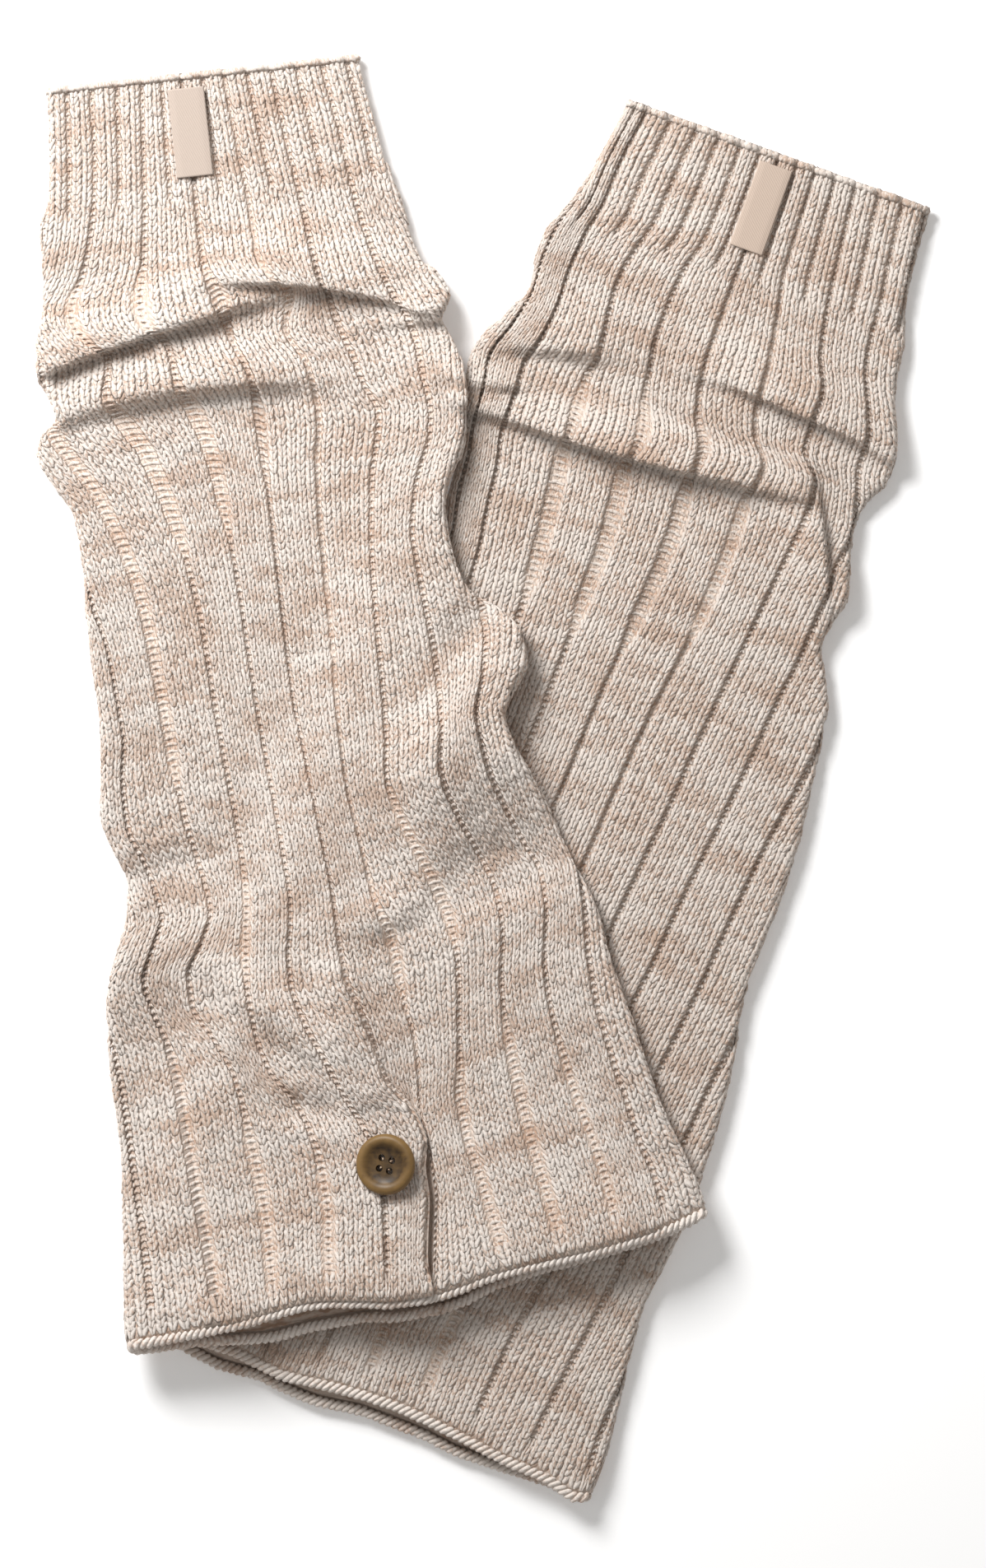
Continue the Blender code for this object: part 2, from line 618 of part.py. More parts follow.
def tube_shell(name, leg, rows, ribs, ribs_round, per_wide_rib, rise, material, collection):
    """A flattened tube of cloth, with its ribs raised outside over a plain inside.

    Each row is a station and the depth by which the outside is set in there.
    """
    mesh = bmesh.new()
    outside = [
        outer_ring(leg, station, ribs, ribs_round, per_wide_rib, rise, inset) for station, inset in rows
    ]
    outer = add_rings(mesh, outside)
    inside = [station for station, _ in rows]
    inside[-1] = inside[-1] - RIM_SLOPE
    inner = add_rings(mesh, [inner_ring(leg, station, INNER_SHARES) for station in inside])
    for end in (0, -1):
        station = rows[end][0]
        around = 2 * layer_length(leg, station, 0.0)
        shares = (arcs_of_ribs(leg, station, ribs, ribs_round) / around) % 1.0
        order = np.argsort(shares)
        ring = [outer[end][k] for k in order]
        bridge(mesh, ring, [float(shares[k]) for k in order], inner[end], list(INNER_SHARES))
    return new_object(name, mesh, material, collection)


def cuff_columns():
    """Rib places of the points round a cuff: the channel and the top of each narrow rib."""
    return np.arange(0, 2 * RIBS_ROUND_CUFF) / (2 * RIBS_PER_WIDE_RIB)


def body_columns():
    """Rib places of the points round a body: four on each rib that shows, and two on one below."""
    shown = [rib + place for rib in RIBS_SHOWN for place in (0.0, RIB_SHOULDER, 0.5, 1.0 - RIB_SHOULDER)]
    below = np.arange(2 * (RIBS_SHOWN[-1] + 1), 2 * (RIBS_ROUND_BODY + RIBS_SHOWN[0])) / 2
    return np.array(sorted((place % RIBS_ROUND_BODY) for place in [*shown, *below]))


def body_stations(leg):
    start = leg.seam + SEAM_GAP / 2
    end = leg.length - 2 * HEM_ROLL_RADIUS - HEM_ROLL_GAP
    close = np.linspace(start, FOLDED_UNTIL, CLOSE_ROWS)
    open_rows = np.linspace(FOLDED_UNTIL, end, OPEN_ROWS)
    return list(close) + list(open_rows[1:])


def make_cuff(leg, material, collection):
    rows = [(leg.start + row, 0.0) for row in CUFF_ROWS]
    rows[0] = (leg.start, CUFF_EDGE_INSET)
    rows.append((leg.seam - SEAM_GAP / 2 - 5.0, 0.0))
    rows.append((leg.seam - SEAM_GAP / 2, 0.0))
    ribs = cuff_columns()
    around = RIBS_ROUND_CUFF / RIBS_PER_WIDE_RIB
    name = leg.name + "_cuff"
    return tube_shell(name, leg, rows, ribs, around, RIBS_PER_WIDE_RIB, CUFF_RIB_RISE, material, collection)


def make_body(leg, material, collection):
    rows = [(station, 0.0) for station in body_stations(leg)]
    ribs = body_columns()
    name = leg.name + "_body"
    return tube_shell(name, leg, rows, ribs, RIBS_ROUND_BODY, 1, BODY_RIB_RISE, material, collection)


def make_hem_roll(leg, material, collection):
    """The rolled edge, a closed loop of cord that follows the end of the tube."""
    station = leg.length - HEM_ROLL_RADIUS
    length = 2 * layer_length(leg, station, HEM_ROLL_RADIUS)
    half_turn = np.linspace(0.0, 0.5, HEM_ROLL_POINTS // 2 + 1)[:-1]
    eased = half_turn + HEM_END_CROWD * np.sin(4 * math.pi * half_turn) / (4 * math.pi)
    shares = np.concatenate([eased, eased + 0.5])
    across, height, _, _ = section(leg, station, shares * length, HEM_ROLL_RADIUS)
    line = laid(leg, station, across, height, False)
    forward = np.roll(line, -1, axis=0) - np.roll(line, 1, axis=0)
    forward /= np.linalg.norm(forward, axis=1)[:, None]
    axis = np.array([*leg.along_axis, 0.0])
    side = axis - forward * (forward @ axis)[:, None]
    side /= np.linalg.norm(side, axis=1)[:, None]
    up = np.cross(forward, side)
    mesh = bmesh.new()
    made = []
    for k in range(HEM_ROLL_SIDES):
        angle = 2 * math.pi * k / HEM_ROLL_SIDES
        ring = line + HEM_ROLL_RADIUS * (math.cos(angle) * side + math.sin(angle) * up)
        made.append([mesh.verts.new(point * MM) for point in ring])
    for ring, following in zip(made, made[1:] + made[:1]):
        for j in range(len(ring)):
            k = (j + 1) % len(ring)
            mesh.faces.new((ring[j], ring[k], following[k], following[j]))
    return new_object(leg.name + "_hem_roll", mesh, material, collection)


def slab(name, under, thick, material, collection):
    """A thin closed piece on a grid of points, moved straight up from them."""
    under = np.asarray(under)
    rows, columns, _ = under.shape
    over = under.copy()
    over[:, :, 2] += thick
    mesh = bmesh.new()
    low = [[mesh.verts.new(point * MM) for point in row] for row in under]
    high = [[mesh.verts.new(point * MM) for point in row] for row in over]
    for i in range(rows - 1):
        for j in range(columns - 1):
            mesh.faces.new((low[i][j], low[i][j + 1], low[i + 1][j + 1], low[i + 1][j]))
            mesh.faces.new((high[i][j], high[i + 1][j], high[i + 1][j + 1], high[i][j + 1]))
    edge = [(0, j) for j in range(columns)] + [(i, columns - 1) for i in range(1, rows)]
    edge += [(rows - 1, j) for j in range(columns - 2, -1, -1)] + [(i, 0) for i in range(rows - 2, 0, -1)]
    for (i, j), (k, m) in zip(edge, edge[1:] + edge[:1]):
        mesh.faces.new((low[i][j], low[k][m], high[k][m], high[i][j]))
    return new_object(name, mesh, material, collection)


def make_flap(leg, material, collection):
    """The end rib of the front panel, which lies over the other panel and carries the button."""
    first, last = FLAP_RIBS
    ribs = np.array([first + 0.1, first + 0.25, (first + last) / 2, last - 0.16, last - 0.03])
    stations = [station for station in body_stations(leg) if station > FLAP_TOP]
    under = []
    for station in stations:
        points = outer_ring(leg, station, ribs, RIBS_ROUND_BODY, 1, BODY_RIB_RISE)
        points[:, 2] += FLAP_GAP
        under.append(points)
    return slab(leg.name + "_flap", under, FLAP_THICK, material, collection)


def top_of(leg, across, along, rise):
    """The top of the cloth above a point given as (across, along), without the flap's step."""
    width = float(leg.at("right", along)) - float(leg.at("left", along))
    station = along - float(leg.at("slant", along)) * across / width
    point = laid(leg, station, np.array([across]), np.array([leg.thickness(station)]), False)[0]
    point[2] += rise - float(flap_step(leg, station, np.array([across]))[0])
    return point


def turned_disc(name, profile, steps, collection):
    """A solid turned from a profile of (radius, height) about the vertical axis, as a plain mesh."""
    outline = bpy.data.meshes.new(name + " profile")
    corners = [(x * MM, 0.0, z * MM) for x, z in profile]
    outline.from_pydata(corners, [(k, k + 1) for k in range(len(corners) - 1)], [])
    turned = bpy.data.objects.new(name, outline)
    collection.objects.link(turned)
    screw = turned.modifiers.new("turned", "SCREW")
    screw.steps = steps
    screw.render_steps = steps
    screw.use_merge_vertices = True
    screw.merge_threshold = 0.00001
    bpy.context.view_layer.update()
    graph = bpy.context.evaluated_depsgraph_get()
    data = bpy.data.meshes.new_from_object(turned.evaluated_get(graph))
    bpy.data.objects.remove(turned)
    mesh = bmesh.new()
    mesh.from_mesh(data)
    bmesh.ops.remove_doubles(mesh, verts=mesh.verts, dist=0.00001)
    bmesh.ops.recalc_face_normals(mesh, faces=mesh.faces)
    mesh.to_mesh(data)
    mesh.free()
    data.name = name
    made = bpy.data.objects.new(name, data)
    collection.objects.link(made)
    return made


def button_place(leg):
    """The middle of the button's underside: it rests on the highest cloth under it."""
    middle = top_of(leg, *BUTTON_AT, 0.0)
    height = 0.0
    for reach in (0.0, BUTTON_DIAMETER / 4, BUTTON_DIAMETER / 2 - 1.5):
        for angle in np.linspace(0.0, 2 * math.pi, 13):
            across = BUTTON_AT[0] + reach * math.cos(angle)
            along = BUTTON_AT[1] + reach * math.sin(angle)
            cloth = top_of(leg, across, along, BODY_RIB_RISE + STEP_HEIGHT + SEAM_GAP)
            slope = (cloth[0] - middle[0]) * math.tan(BUTTON_LEAN)
            height = max(height, cloth[2] - slope)
    return middle[0], middle[1], height


def make_button(leg, material, collection, cutters):
    """A turned disc with a raised rim, a bowl and four holes through it, leaning with the cloth."""
    radius = BUTTON_DIAMETER / 2
    bowl = BUTTON_BOWL / 2
    profile = (
        (0.0, BUTTON_THICK * 0.55),
        (bowl * 0.8, BUTTON_THICK * 0.57),
        (bowl, BUTTON_THICK * 0.85),
        (radius - 1.6, BUTTON_THICK),
        (radius - 0.5, BUTTON_THICK * 0.86),
        (radius, BUTTON_THICK * 0.55),
        (radius - 0.7, BUTTON_THICK * 0.2),
        (radius - 2.6, 0.0),
        (0.0, 0.0),
    )
    made = turned_disc(leg.name + "_button", profile, 28, collection)
    made.data.materials.clear()
    made.data.materials.append(material)
    hole_radius = BUTTON_HOLE / 2
    hole_profile = ((0.0, BUTTON_THICK), (hole_radius, BUTTON_THICK), (hole_radius, -1.0), (0.0, -1.0))
    x, y, z = button_place(leg)
    made.location = (x * MM, y * MM, z * MM)
    made.rotation_euler = (0.0, -BUTTON_LEAN, 0.0)
    bpy.context.view_layer.update()
    for k in range(4):
        angle = BUTTON_TURN + math.pi * (k + 0.5) / 2
        spread = BUTTON_HOLE_SPREAD / math.sqrt(2)
        hole = turned_disc(f"button hole {k + 1}", hole_profile, 10, cutters)
        offset = (spread * math.cos(angle) * MM, spread * math.sin(angle) * MM, 0.0)
        hole.location = made.matrix_world @ Vector(offset)
        hole.rotation_euler = made.rotation_euler
        hole.hide_render = True
        hole.display_type = "WIRE"
        drilled = made.modifiers.new(f"hole {k + 1}", "BOOLEAN")
        drilled.operation = "DIFFERENCE"
        drilled.solver = "EXACT"
        drilled.object = hole
    return made


def make_label(leg, row, material, collection):
    """A plain woven tape sewn flat on the cuff."""
    label = dict(zip(LABEL_COLUMNS, row))
    turn = math.radians(label["turn"])
    under = []
    for share_long in np.linspace(0.0, 1.0, 5):
        points = []
        for share_wide in np.linspace(0.0, 1.0, 4):
            wide = share_wide * label["wide"]
            long = share_long * label["long"]
            across = label["across"] + wide * math.cos(turn) - long * math.sin(turn)
            along = label["along"] + wide * math.sin(turn) + long * math.cos(turn)
            points.append(top_of(leg, across, along, CUFF_RIB_RISE + SEAM_GAP))
        under.append(points)
    return slab(leg.name + "_label", under, LABEL_THICK, material, collection)


def new_material(name, colour, roughness):
    material = bpy.data.materials.new(name)
    material.use_nodes = True
    shader = material.node_tree.nodes["Principled BSDF"]
    shader.inputs["Base Color"].default_value = (*colour, 1.0)
    shader.inputs["Roughness"].default_value = roughness
    return material


def main():
    for thing in list(bpy.data.objects):
        bpy.data.objects.remove(thing)
    collection = bpy.data.collections.new("leg warmers")
    bpy.context.scene.collection.children.link(collection)
    cutters = bpy.data.collections.new("cutters")
    bpy.context.scene.collection.children.link(cutters)
    cutters.hide_render = True
    knit = new_material("marled knit", (0.72, 0.60, 0.51), 0.95)
    tape = new_material("woven tape", (0.83, 0.66, 0.53), 0.8)
    horn = new_material("horn", (0.13, 0.075, 0.035), 0.35)
    for leg in (LEFT, RIGHT):
        make_cuff(leg, knit, collection)
        make_body(leg, knit, collection)
        make_hem_roll(leg, knit, collection)
    make_flap(LEFT, knit, collection)
    make_button(LEFT, horn, collection, cutters)
    make_label(LEFT, LEFT_LABEL, tape, collection)
    make_label(RIGHT, RIGHT_LABEL, tape, collection)


main()
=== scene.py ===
# %% [markdown]
# # A pair of ribbed leg warmers, laid flat
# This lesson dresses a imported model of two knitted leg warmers, one lying over the other. The packed
# solids give the places and sizes. Here the cloth gets its fine form, its real stitches, its rolled
# hems, its woven tapes and its horn button. Everything is in metres, and the tables are in
# millimetres.

# %% Load the frame
import math

import bmesh
import bpy
import numpy as np
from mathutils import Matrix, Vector


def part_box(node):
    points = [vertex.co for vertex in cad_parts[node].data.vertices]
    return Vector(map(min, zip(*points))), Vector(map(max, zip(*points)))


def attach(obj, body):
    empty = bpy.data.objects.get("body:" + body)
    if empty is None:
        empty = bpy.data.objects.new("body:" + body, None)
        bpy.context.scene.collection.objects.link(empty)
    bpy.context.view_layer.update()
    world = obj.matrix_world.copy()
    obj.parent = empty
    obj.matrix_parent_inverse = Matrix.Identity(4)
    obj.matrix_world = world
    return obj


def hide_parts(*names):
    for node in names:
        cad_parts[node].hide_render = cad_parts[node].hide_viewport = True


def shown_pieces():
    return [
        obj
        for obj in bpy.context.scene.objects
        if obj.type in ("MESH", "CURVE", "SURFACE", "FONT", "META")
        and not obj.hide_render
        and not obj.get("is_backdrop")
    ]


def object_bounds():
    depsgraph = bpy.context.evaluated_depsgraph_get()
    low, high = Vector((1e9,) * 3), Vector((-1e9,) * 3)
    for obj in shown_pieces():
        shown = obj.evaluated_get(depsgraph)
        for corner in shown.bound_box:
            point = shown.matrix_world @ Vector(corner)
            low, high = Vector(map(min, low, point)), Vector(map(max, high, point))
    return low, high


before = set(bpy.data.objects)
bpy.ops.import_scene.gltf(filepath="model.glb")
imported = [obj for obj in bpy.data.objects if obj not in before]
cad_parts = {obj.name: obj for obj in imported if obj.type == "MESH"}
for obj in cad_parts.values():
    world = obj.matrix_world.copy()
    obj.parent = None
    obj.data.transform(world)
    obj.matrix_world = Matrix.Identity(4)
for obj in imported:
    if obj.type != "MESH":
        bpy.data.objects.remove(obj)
CAD_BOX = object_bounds()
MM = 0.001
print("nodes:", sorted(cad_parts))

# %% [markdown]
# ## Where the cloth lies
# Each leg warmer is a knitted tube, pressed flat: a top layer, a bottom layer and a round fold at
# each side. One could sculpt it, simulate it, or loft it through sections. A loft is used, because
# the outline, every rib and every fold of the real one can then be named in a short table. A point
# of the cloth is named by its station (millimetres along the leg from the cuff's edge) and by its
# rib (counted round the tube, left to right on top). Across is measured from the middle line.

# %% Sizes of the cloth
WALL = 2.2  # one layer of knit
HOLLOW = 1.2  # room left inside the pressed tube
MOUTH_HOLLOW = 3.4  # the same at the hem
MOUTH_REACH = 26.0  # the length over which the tube opens towards the hem
MOUTH_SETTLED = 4.0
SEAM_GAP = 0.35
HEM_ROLL_RADIUS = 1.8
HEM_REACH = 45.0  # how far up the leg the hem's own line is felt
HEM_SETTLED = 8.0  # and how far up it is followed exactly
RIBS_ROUND = 20
LEAST_RIB = 5.0  # a narrower rib stands up less
RIB_SAMPLE = 0.3
NO_RIB = 99.0  # a rib number for points that belong to no rib, and so not to the flap
FOLD_CORE = 0.8  # share of a fold's height that is layered cloth, not hollow
INNER_LIFT_MOST = 2.0
LOWEST_HOLLOW = 3.4
FOLD_FADE = 0.4  # share of a fold's length over which it grows to its height
FOLD_END_REACH = 12.0
REACH_OF_LIFT = 34.0  # where the upper leg warmer starts to climb onto the lower one
EARLY_LIFT = 4.0  # and where it has its full height
LIFT_AHEAD = 3.0
SOLID_RIB_RISE = 1.3

# %% Sizes of the opening with the button
FLAP_EDGE_RIB = 3.0
FLAP_TOP = 345.0
PINCH_TOP = 318.0
STEP_HEIGHT = 3.4  # how high the front panel stands over the other one
STEP_REACH = 46.0
EDGE_DROP = 0.9
EDGE_OUT = 1.0
SLIT_WIDTH = 2.8
SLIT_FROM = 358.0
SLIT_TO = 402.0
TUCK_SINK = 1.9  # the panel below is pressed down by this much, and drawn in under the flap
TUCK_IN = 1.6
MOUTH_LIFT = 5.5  # how far the front of the open end stands up
MOUTH_LIFT_REACH = 60.0
MOUTH_LEFT_SLOPE = 40.0
MOUTH_RIGHT_SLOPE = 22.0

# %% [markdown]
# The sections: the station along the leg, the left and right side of the tube, and how much
# further along the right end of the section lies than its left end.

# %% Sections of both legs
SECTION_COLUMNS = ("along", "left", "right", "slant")

LEFT_SECTIONS = (
    (0, -51.3, 50, 7),
    (13, -53, 51, 7),
    (27, -55.4, 52.5, 7),
    (36, -57.5, 53.4, 7),
    (42, -60.3, 54.6, 7),
    (50, -62.2, 56.3, 7),
    (62, -63, 57.5, 7),
    (70, -64.5, 59.2, 7),
    (76, -66.9, 64.8, 6),
    (84, -70.3, 66.5, 4),
    (92, -70.5, 62.4, 3),
    (99, -68, 64, 2),
    (104, -67.5, 65.5, 1.5),
    (109, -73, 66.5, 1),
    (116, -75, 66.5, 0),
    (127, -70.5, 64.5, 0),
    (137, -66.5, 62, 0),
    (146, -66.7, 55.8, 0),
    (157, -67.3, 52.2, 0),
    (172, -68.5, 52.8, 0),
    (183, -69.2, 55.5, 0),
    (191, -69.5, 64.5, 0),
    (200, -69.8, 70, 0),
    (209, -70.9, 70.5, 0),
    (218, -72.2, 64.5, 0),
    (227, -73.8, 59.7, 0),
    (236, -75.3, 61.5, 0),
    (247, -73.1, 65.3, 0),
    (257, -70.5, 68.3, -1),
    (268, -72.8, 71, -2),
    (280, -78.8, 74.5, -3),
    (296, -84.8, 78.5, -4),
    (312, -86.8, 80, -5),
    (336, -87.9, 83.8, -7),
    (360, -90.8, 87.3, -8),
    (385, -95, 93.5, -10),
    (405, -98, 97.8, -11),
)

RIGHT_SECTIONS = (
    (0, -51.5, 52.6, 5),
    (12, -53.8, 52.8, 5),
    (25, -56.5, 53.5, 5),
    (35, -59, 54.8, 5),
    (41, -61.5, 56.3, 5),
    (48, -64.7, 57.5, 5),
    (56, -65.5, 58.2, 4),
    (67, -64.3, 60.7, 3),
    (76, -68.9, 64, 2),
    (85, -74.3, 65.8, 1),
    (93, -76.5, 65.3, 0),
    (100, -76.5, 61.3, 0),
    (107, -74.5, 59.5, 0),
    (117, -72, 60.3, 0),
    (128, -70.5, 63, 0),
    (134, -70, 64, 0),
    (141, -70, 62, 0),
    (149, -70, 60, 1),
    (158, -70, 64, 2),
    (170, -70.5, 69, 3),
    (190, -71, 70.5, 4),
    (215, -72.5, 72.2, 6),
    (240, -74, 71.3, 8),
    (262, -75, 69.8, 9),
    (280, -75.5, 72.2, 9),
    (305, -76.5, 73.8, 10),
    (330, -77.5, 73.7, 11),
    (352, -78, 71.5, 11),
    (372, -78.5, 67.9, 12),
    (395, -79, 69.2, 12),
    (415, -79.5, 70.2, 12),
    (433, -80, 70.5, 12),
)

# %% [markdown]
# The ribs: how far across the channel on the left of each numbered rib lies. A place beyond a side
# has gone round it, to the layer below. Beside the flap, rib 3 is gathered to almost nothing,
# because the flap hides it.

# %% Ribs of both legs
LEFT_RIB_COLUMNS = ("along", -1, 0, 1, 2, 3, 4, 5, 6, 7, 8)

LEFT_RIBS = (
    (0, -69, -53, -37, -20, -7.5, 6.5, 22, 39, 55, 71),
    (25, -73, -57, -40, -24, -8.7, 7, 23.2, 41, 57, 73),
    (45, -78, -61, -44.5, -27, -9.7, 7.5, 24.5, 42, 58, 75),
    (60, -83, -66, -50, -30, -10.5, 7.5, 25.3, 44, 62, 80),
    (75, -90, -74, -57, -34, -7.5, 16, 27, 48, 66, 84),
    (88, -88, -70, -47, -27, -6, 12, 29, 52, 70, 88),
    (100, -88, -71, -49.5, -25.5, -2, 17, 32, 54, 71, 88),
    (110, -86, -69, -45, -22, -1.5, 18, 34, 54, 70, 87),
    (120, -82, -64, -40, -19.5, -2, 17.5, 37.5, 54.5, 69, 85),
    (130, -76, -59, -37.5, -18.5, -2.5, 15, 35, 53, 67, 82),
    (140, -72, -56, -35.5, -18, -3, 13.5, 31.8, 48, 63, 79),
    (150, -70, -53, -34, -18, -3.5, 12.3, 29.8, 44, 59, 75),
    (165, -67, -50.5, -32.7, -18, -4.5, 11, 27.3, 41, 57, 74),
    (180, -64.5, -49.7, -32, -18.3, -5.5, 10, 25.5, 41.2, 59, 78),
    (195, -64, -49.5, -32.3, -18.8, -6.3, 9, 24.1, 41.5, 59.5, 80),
    (210, -64, -49.3, -32.5, -19, -6.8, 7.3, 22.8, 41.3, 56.5, 76),
    (225, -67, -49.3, -32.5, -19, -6.2, 6.1, 21.3, 40, 51, 69),
    (240, -68, -48.7, -32.2, -18.8, -5.8, 5.5, 19, 37, 52, 70),
    (255, -64, -47, -32.5, -18.8, -5.5, 6.5, 21.8, 39.7, 55.2, 72),
    (270, -62, -45.5, -33.5, -19, -5.2, 7.2, 26.5, 44.5, 60, 73.5),
    (280, -67, -50, -35.5, -20.5, -5.5, 8.3, 29.5, 47.3, 63.5, 75.5),
    (290, -71.5, -56.7, -37, -23, -5.7, 10.8, 31.3, 48.1, 63.2, 75.3),
    (300, -70, -57.3, -38, -23.9, -5.8, 11.4, 31.7, 47, 61.2, 74.6),
    (312, -67, -52, -38.3, -21.8, -3, 11.5, 30.3, 44.3, 59, 73.6),
    (325, -66, -47.3, -36.2, -17.4, -0.3, 12.8, 27.9, 43.3, 58.7, 73.6),
    (337, -66, -46.1, -29.4, -13.5, 1.5, 12.2, 26, 43.4, 59.7, 74.5),
    (348, -66.1, -45.9, -25.9, -9.4, 8.2, 10.3, 24, 43.9, 60.9, 75.8),
    (360, -66, -45.2, -24.4, -6, 10.7, 11, 24, 44.5, 62.8, 77.5),
    (372, -65.6, -45.2, -24.6, -6, 10.8, 11.1, 25.9, 45.5, 65.2, 79),
    (385, -65.5, -46.2, -26.7, -7.8, 7.9, 8.3, 28, 47.1, 67, 82),
    (405, -65.7, -47.5, -29, -10.8, 2.8, 3.2, 31, 48.5, 68, 84),
)

RIGHT_RIB_COLUMNS = ("along", 0, 1, 2, 3, 4, 5, 6, 7, 8, 9)

RIGHT_RIBS = (
    (0, -45.5, -27.5, -12.3, 0.7, 13.3, 27.3, 44, 60, 76, 92),
    (21, -49.2, -30.4, -13.3, -0.3, 13.3, 28.8, 45.4, 61, 77, 93),
    (35, -50.5, -32.2, -14.8, -1, 13.4, 29.8, 46.8, 62, 78, 94),
    (45, -53, -35.5, -18, -1.5, 14.8, 30.9, 47, 63, 79, 95),
    (58, -54.7, -38, -19.7, -2, 16.8, 33, 48.5, 65, 82, 99),
    (70, -55, -37.5, -20.5, -2.5, 18, 37.5, 53, 70, 87, 104),
    (80, -57, -37, -19.5, -2, 18, 37, 56, 74, 91, 108),
    (90, -60, -38.5, -18, 0, 20, 37, 56, 73, 90, 107),
    (100, -60, -38.5, -15.5, 5, 26, 43, 58, 75, 92, 108),
    (112, -60.5, -39, -18, 3.3, 23, 43.5, 60, 76, 92, 108),
    (125, -58.5, -38, -17.3, 4, 23, 42, 58, 75, 91, 107),
    (140, -57.5, -37, -17, 3, 22, 39.5, 57, 74, 90, 106),
    (155, -56.2, -36.7, -18, 1, 20.2, 37.3, 55.7, 73, 90, 106),
    (170, -56, -37, -18.7, -1.3, 17.5, 35, 53, 71, 88, 105),
    (190, -57, -38.5, -20, -4, 13.8, 32, 50.2, 68.5, 86, 103),
    (215, -60, -41, -22, -6.3, 10.2, 28.8, 46.2, 63.2, 80, 97),
    (240, -64, -45, -27, -9.5, 7.5, 25, 42, 59.3, 76.5, 94),
    (265, -68, -49, -31, -13.5, 3.5, 21, 38.5, 56, 73.5, 91),
    (295, -74, -55, -37, -19, -2, 14, 33, 51.2, 68.5, 86),
    (320, -79, -60, -42, -24, -6.5, 9.5, 28, 47, 64.8, 82),
    (350, -87, -68, -49, -30.5, -12, 4, 22, 40.5, 58.8, 76.5),
    (380, -94, -75, -56, -38, -20, -4, 14.5, 33, 54.5, 72),
    (405, -101, -82, -63, -44, -26, -10.5, 9.3, 28.9, 49.7, 68),
    (434, -106, -86, -67, -48, -30, -12, 7.5, 25.5, 44, 66.5),
)

# %% [markdown]
# The hem isn't straight: the front and the back layer end at their own places, and the back one
# shows below the front one.

# %% Hem lines
HEM_COLUMNS = ("across", "front", "back")

LEFT_HEM = (
    (-98, 409, 410.5),
    (-90, 409, 411.5),
    (-75, 408.6, 412),
    (-60, 408, 414),
    (-50, 407, 415),
    (-36, 405.8, 414),
    (-20, 408, 414),
    (-8, 410.2, 415.8),
    (4, 410.6, 415.8),
    (12, 409.7, 414.8),
    (25, 407.3, 411),
    (40, 406.2, 408.5),
    (58, 405.3, 407),
    (75, 403.5, 405),
    (90, 401, 402),
    (98, 398.5, 399),
)

RIGHT_HEM = (
    (-80, 431, 431.5),
    (-70, 430, 434.5),
    (-58, 430, 436.5),
    (-45, 432, 436),
    (-38, 433, 437.3),
    (-25, 432, 438.6),
    (-10, 431.5, 437.4),
    (0, 431.8, 438),
    (10, 433, 438.7),
    (25, 435.5, 441),
    (40, 438.4, 441.4),
    (55, 440.3, 441.5),
    (65, 443.2, 443.5),
    (70.5, 441, 441.2),
)

# %% [markdown]
# The folds: where the crest starts and ends, how far its middle bows towards the hem, its height,
# the reach of its two slopes, how far the crest laps over the second slope, and how blunt its two
# ends are. They stand where the real cloth is pushed together, and no two are alike. A wide one
# with no lap is a soft swell of the cloth, and one with a height below zero is a hollow.

# %% Folds of both legs
FOLD_COLUMNS = (
    "name", "across0", "along0", "across1", "along1", "bow",
    "height", "up", "down", "lap", "blunt0", "blunt1",
)

LEFT_FOLDS = (
    ("left roll", -76, 87.5, 18, 75.5, -3, 9, 22, 5, 3, 0.9, 0.3),
    ("right roll", -14, 67, 56, 87, -5, 8, 24, 5, 3, 0.3, 0.8),
    ("second crest", -78, 104.5, 36, 110, -8, 8, 17, 8, 1.5, 0.4, 0.05),
    ("right tuck", 46, 91, 72, 93, 0, 5, 12, 4, 1, 0.4, 0.9),
    ("side ridge", 64, 128, 50, 168, 3, 3, 9, 6, 0, 0.3, 0.3),
    ("elbow swell", 74, 200, 30, 240, 2, 4.5, 14, 14, 0, 0.8, 0.1),
    ("elbow slope", 78, 229, 12, 246, 0, 9.5, 32, 28, 0, 0.6, 0.1),
    ("elbow hollow", 64, 186, 42, 208, 0, -3.5, 10, 12, 0, 0.8, 0.2),
    ("low hollow", 68, 273, 22, 282, 0, -4.5, 16, 18, 0, 0.7, 0.2),
    ("left hollow", -80, 258, -34, 252, 0, -2.5, 10, 12, 0, 0.8, 0.2),
    ("left notch ridge", -86, 288, -36, 275, 1, 4, 15, 26, 0, 0.8, 0.3),
    ("button ridge", -48, 291, -6, 338, -1, 5, 16, 9, 0, 0.3, 0.3),
    ("button swell", -12, 286, -3, 336, 0, 6, 9, 15, 0, 0.2, 0.3),
    ("button hollow", -38, 337, -10, 346, 0, -4, 9, 9, 0, 0.3, 0.3),
    ("centre dent ridge", -6, 285, 26, 276, 3, 3.4, 14, 9, 0, 0.2, 0.2),
)

RIGHT_FOLDS = (
    ("main roll", -72, 107.5, 36, 104.5, 0.5, 11, 15, 5, 3, 0.5, 0.5),
    ("left notch", -80, 101, -52, 94.5, 0, 5, 12, 5, 1, 0.7, 0.3),
    ("upper bulge", -70, 86, -26, 77.5, -2, 6, 22, 7, 1, 0.8, 0.3),
    ("cross lap", -6, 76, 64, 83.5, -3.5, 8, 22, 5, 3, 0.3, 0.6),
    ("side lap", 60, 146, 40, 97, 1, 5, 14, 4, 1.5, 0.3, 0.4),
    ("right lobe", 58, 116, 66, 142, 0, 3.5, 7, 7, 0, 0.4, 0.4),
)

# %% Helpers for tables and curves
def column(table, columns, name):
    return np.array([row[columns.index(name)] for row in table], float)


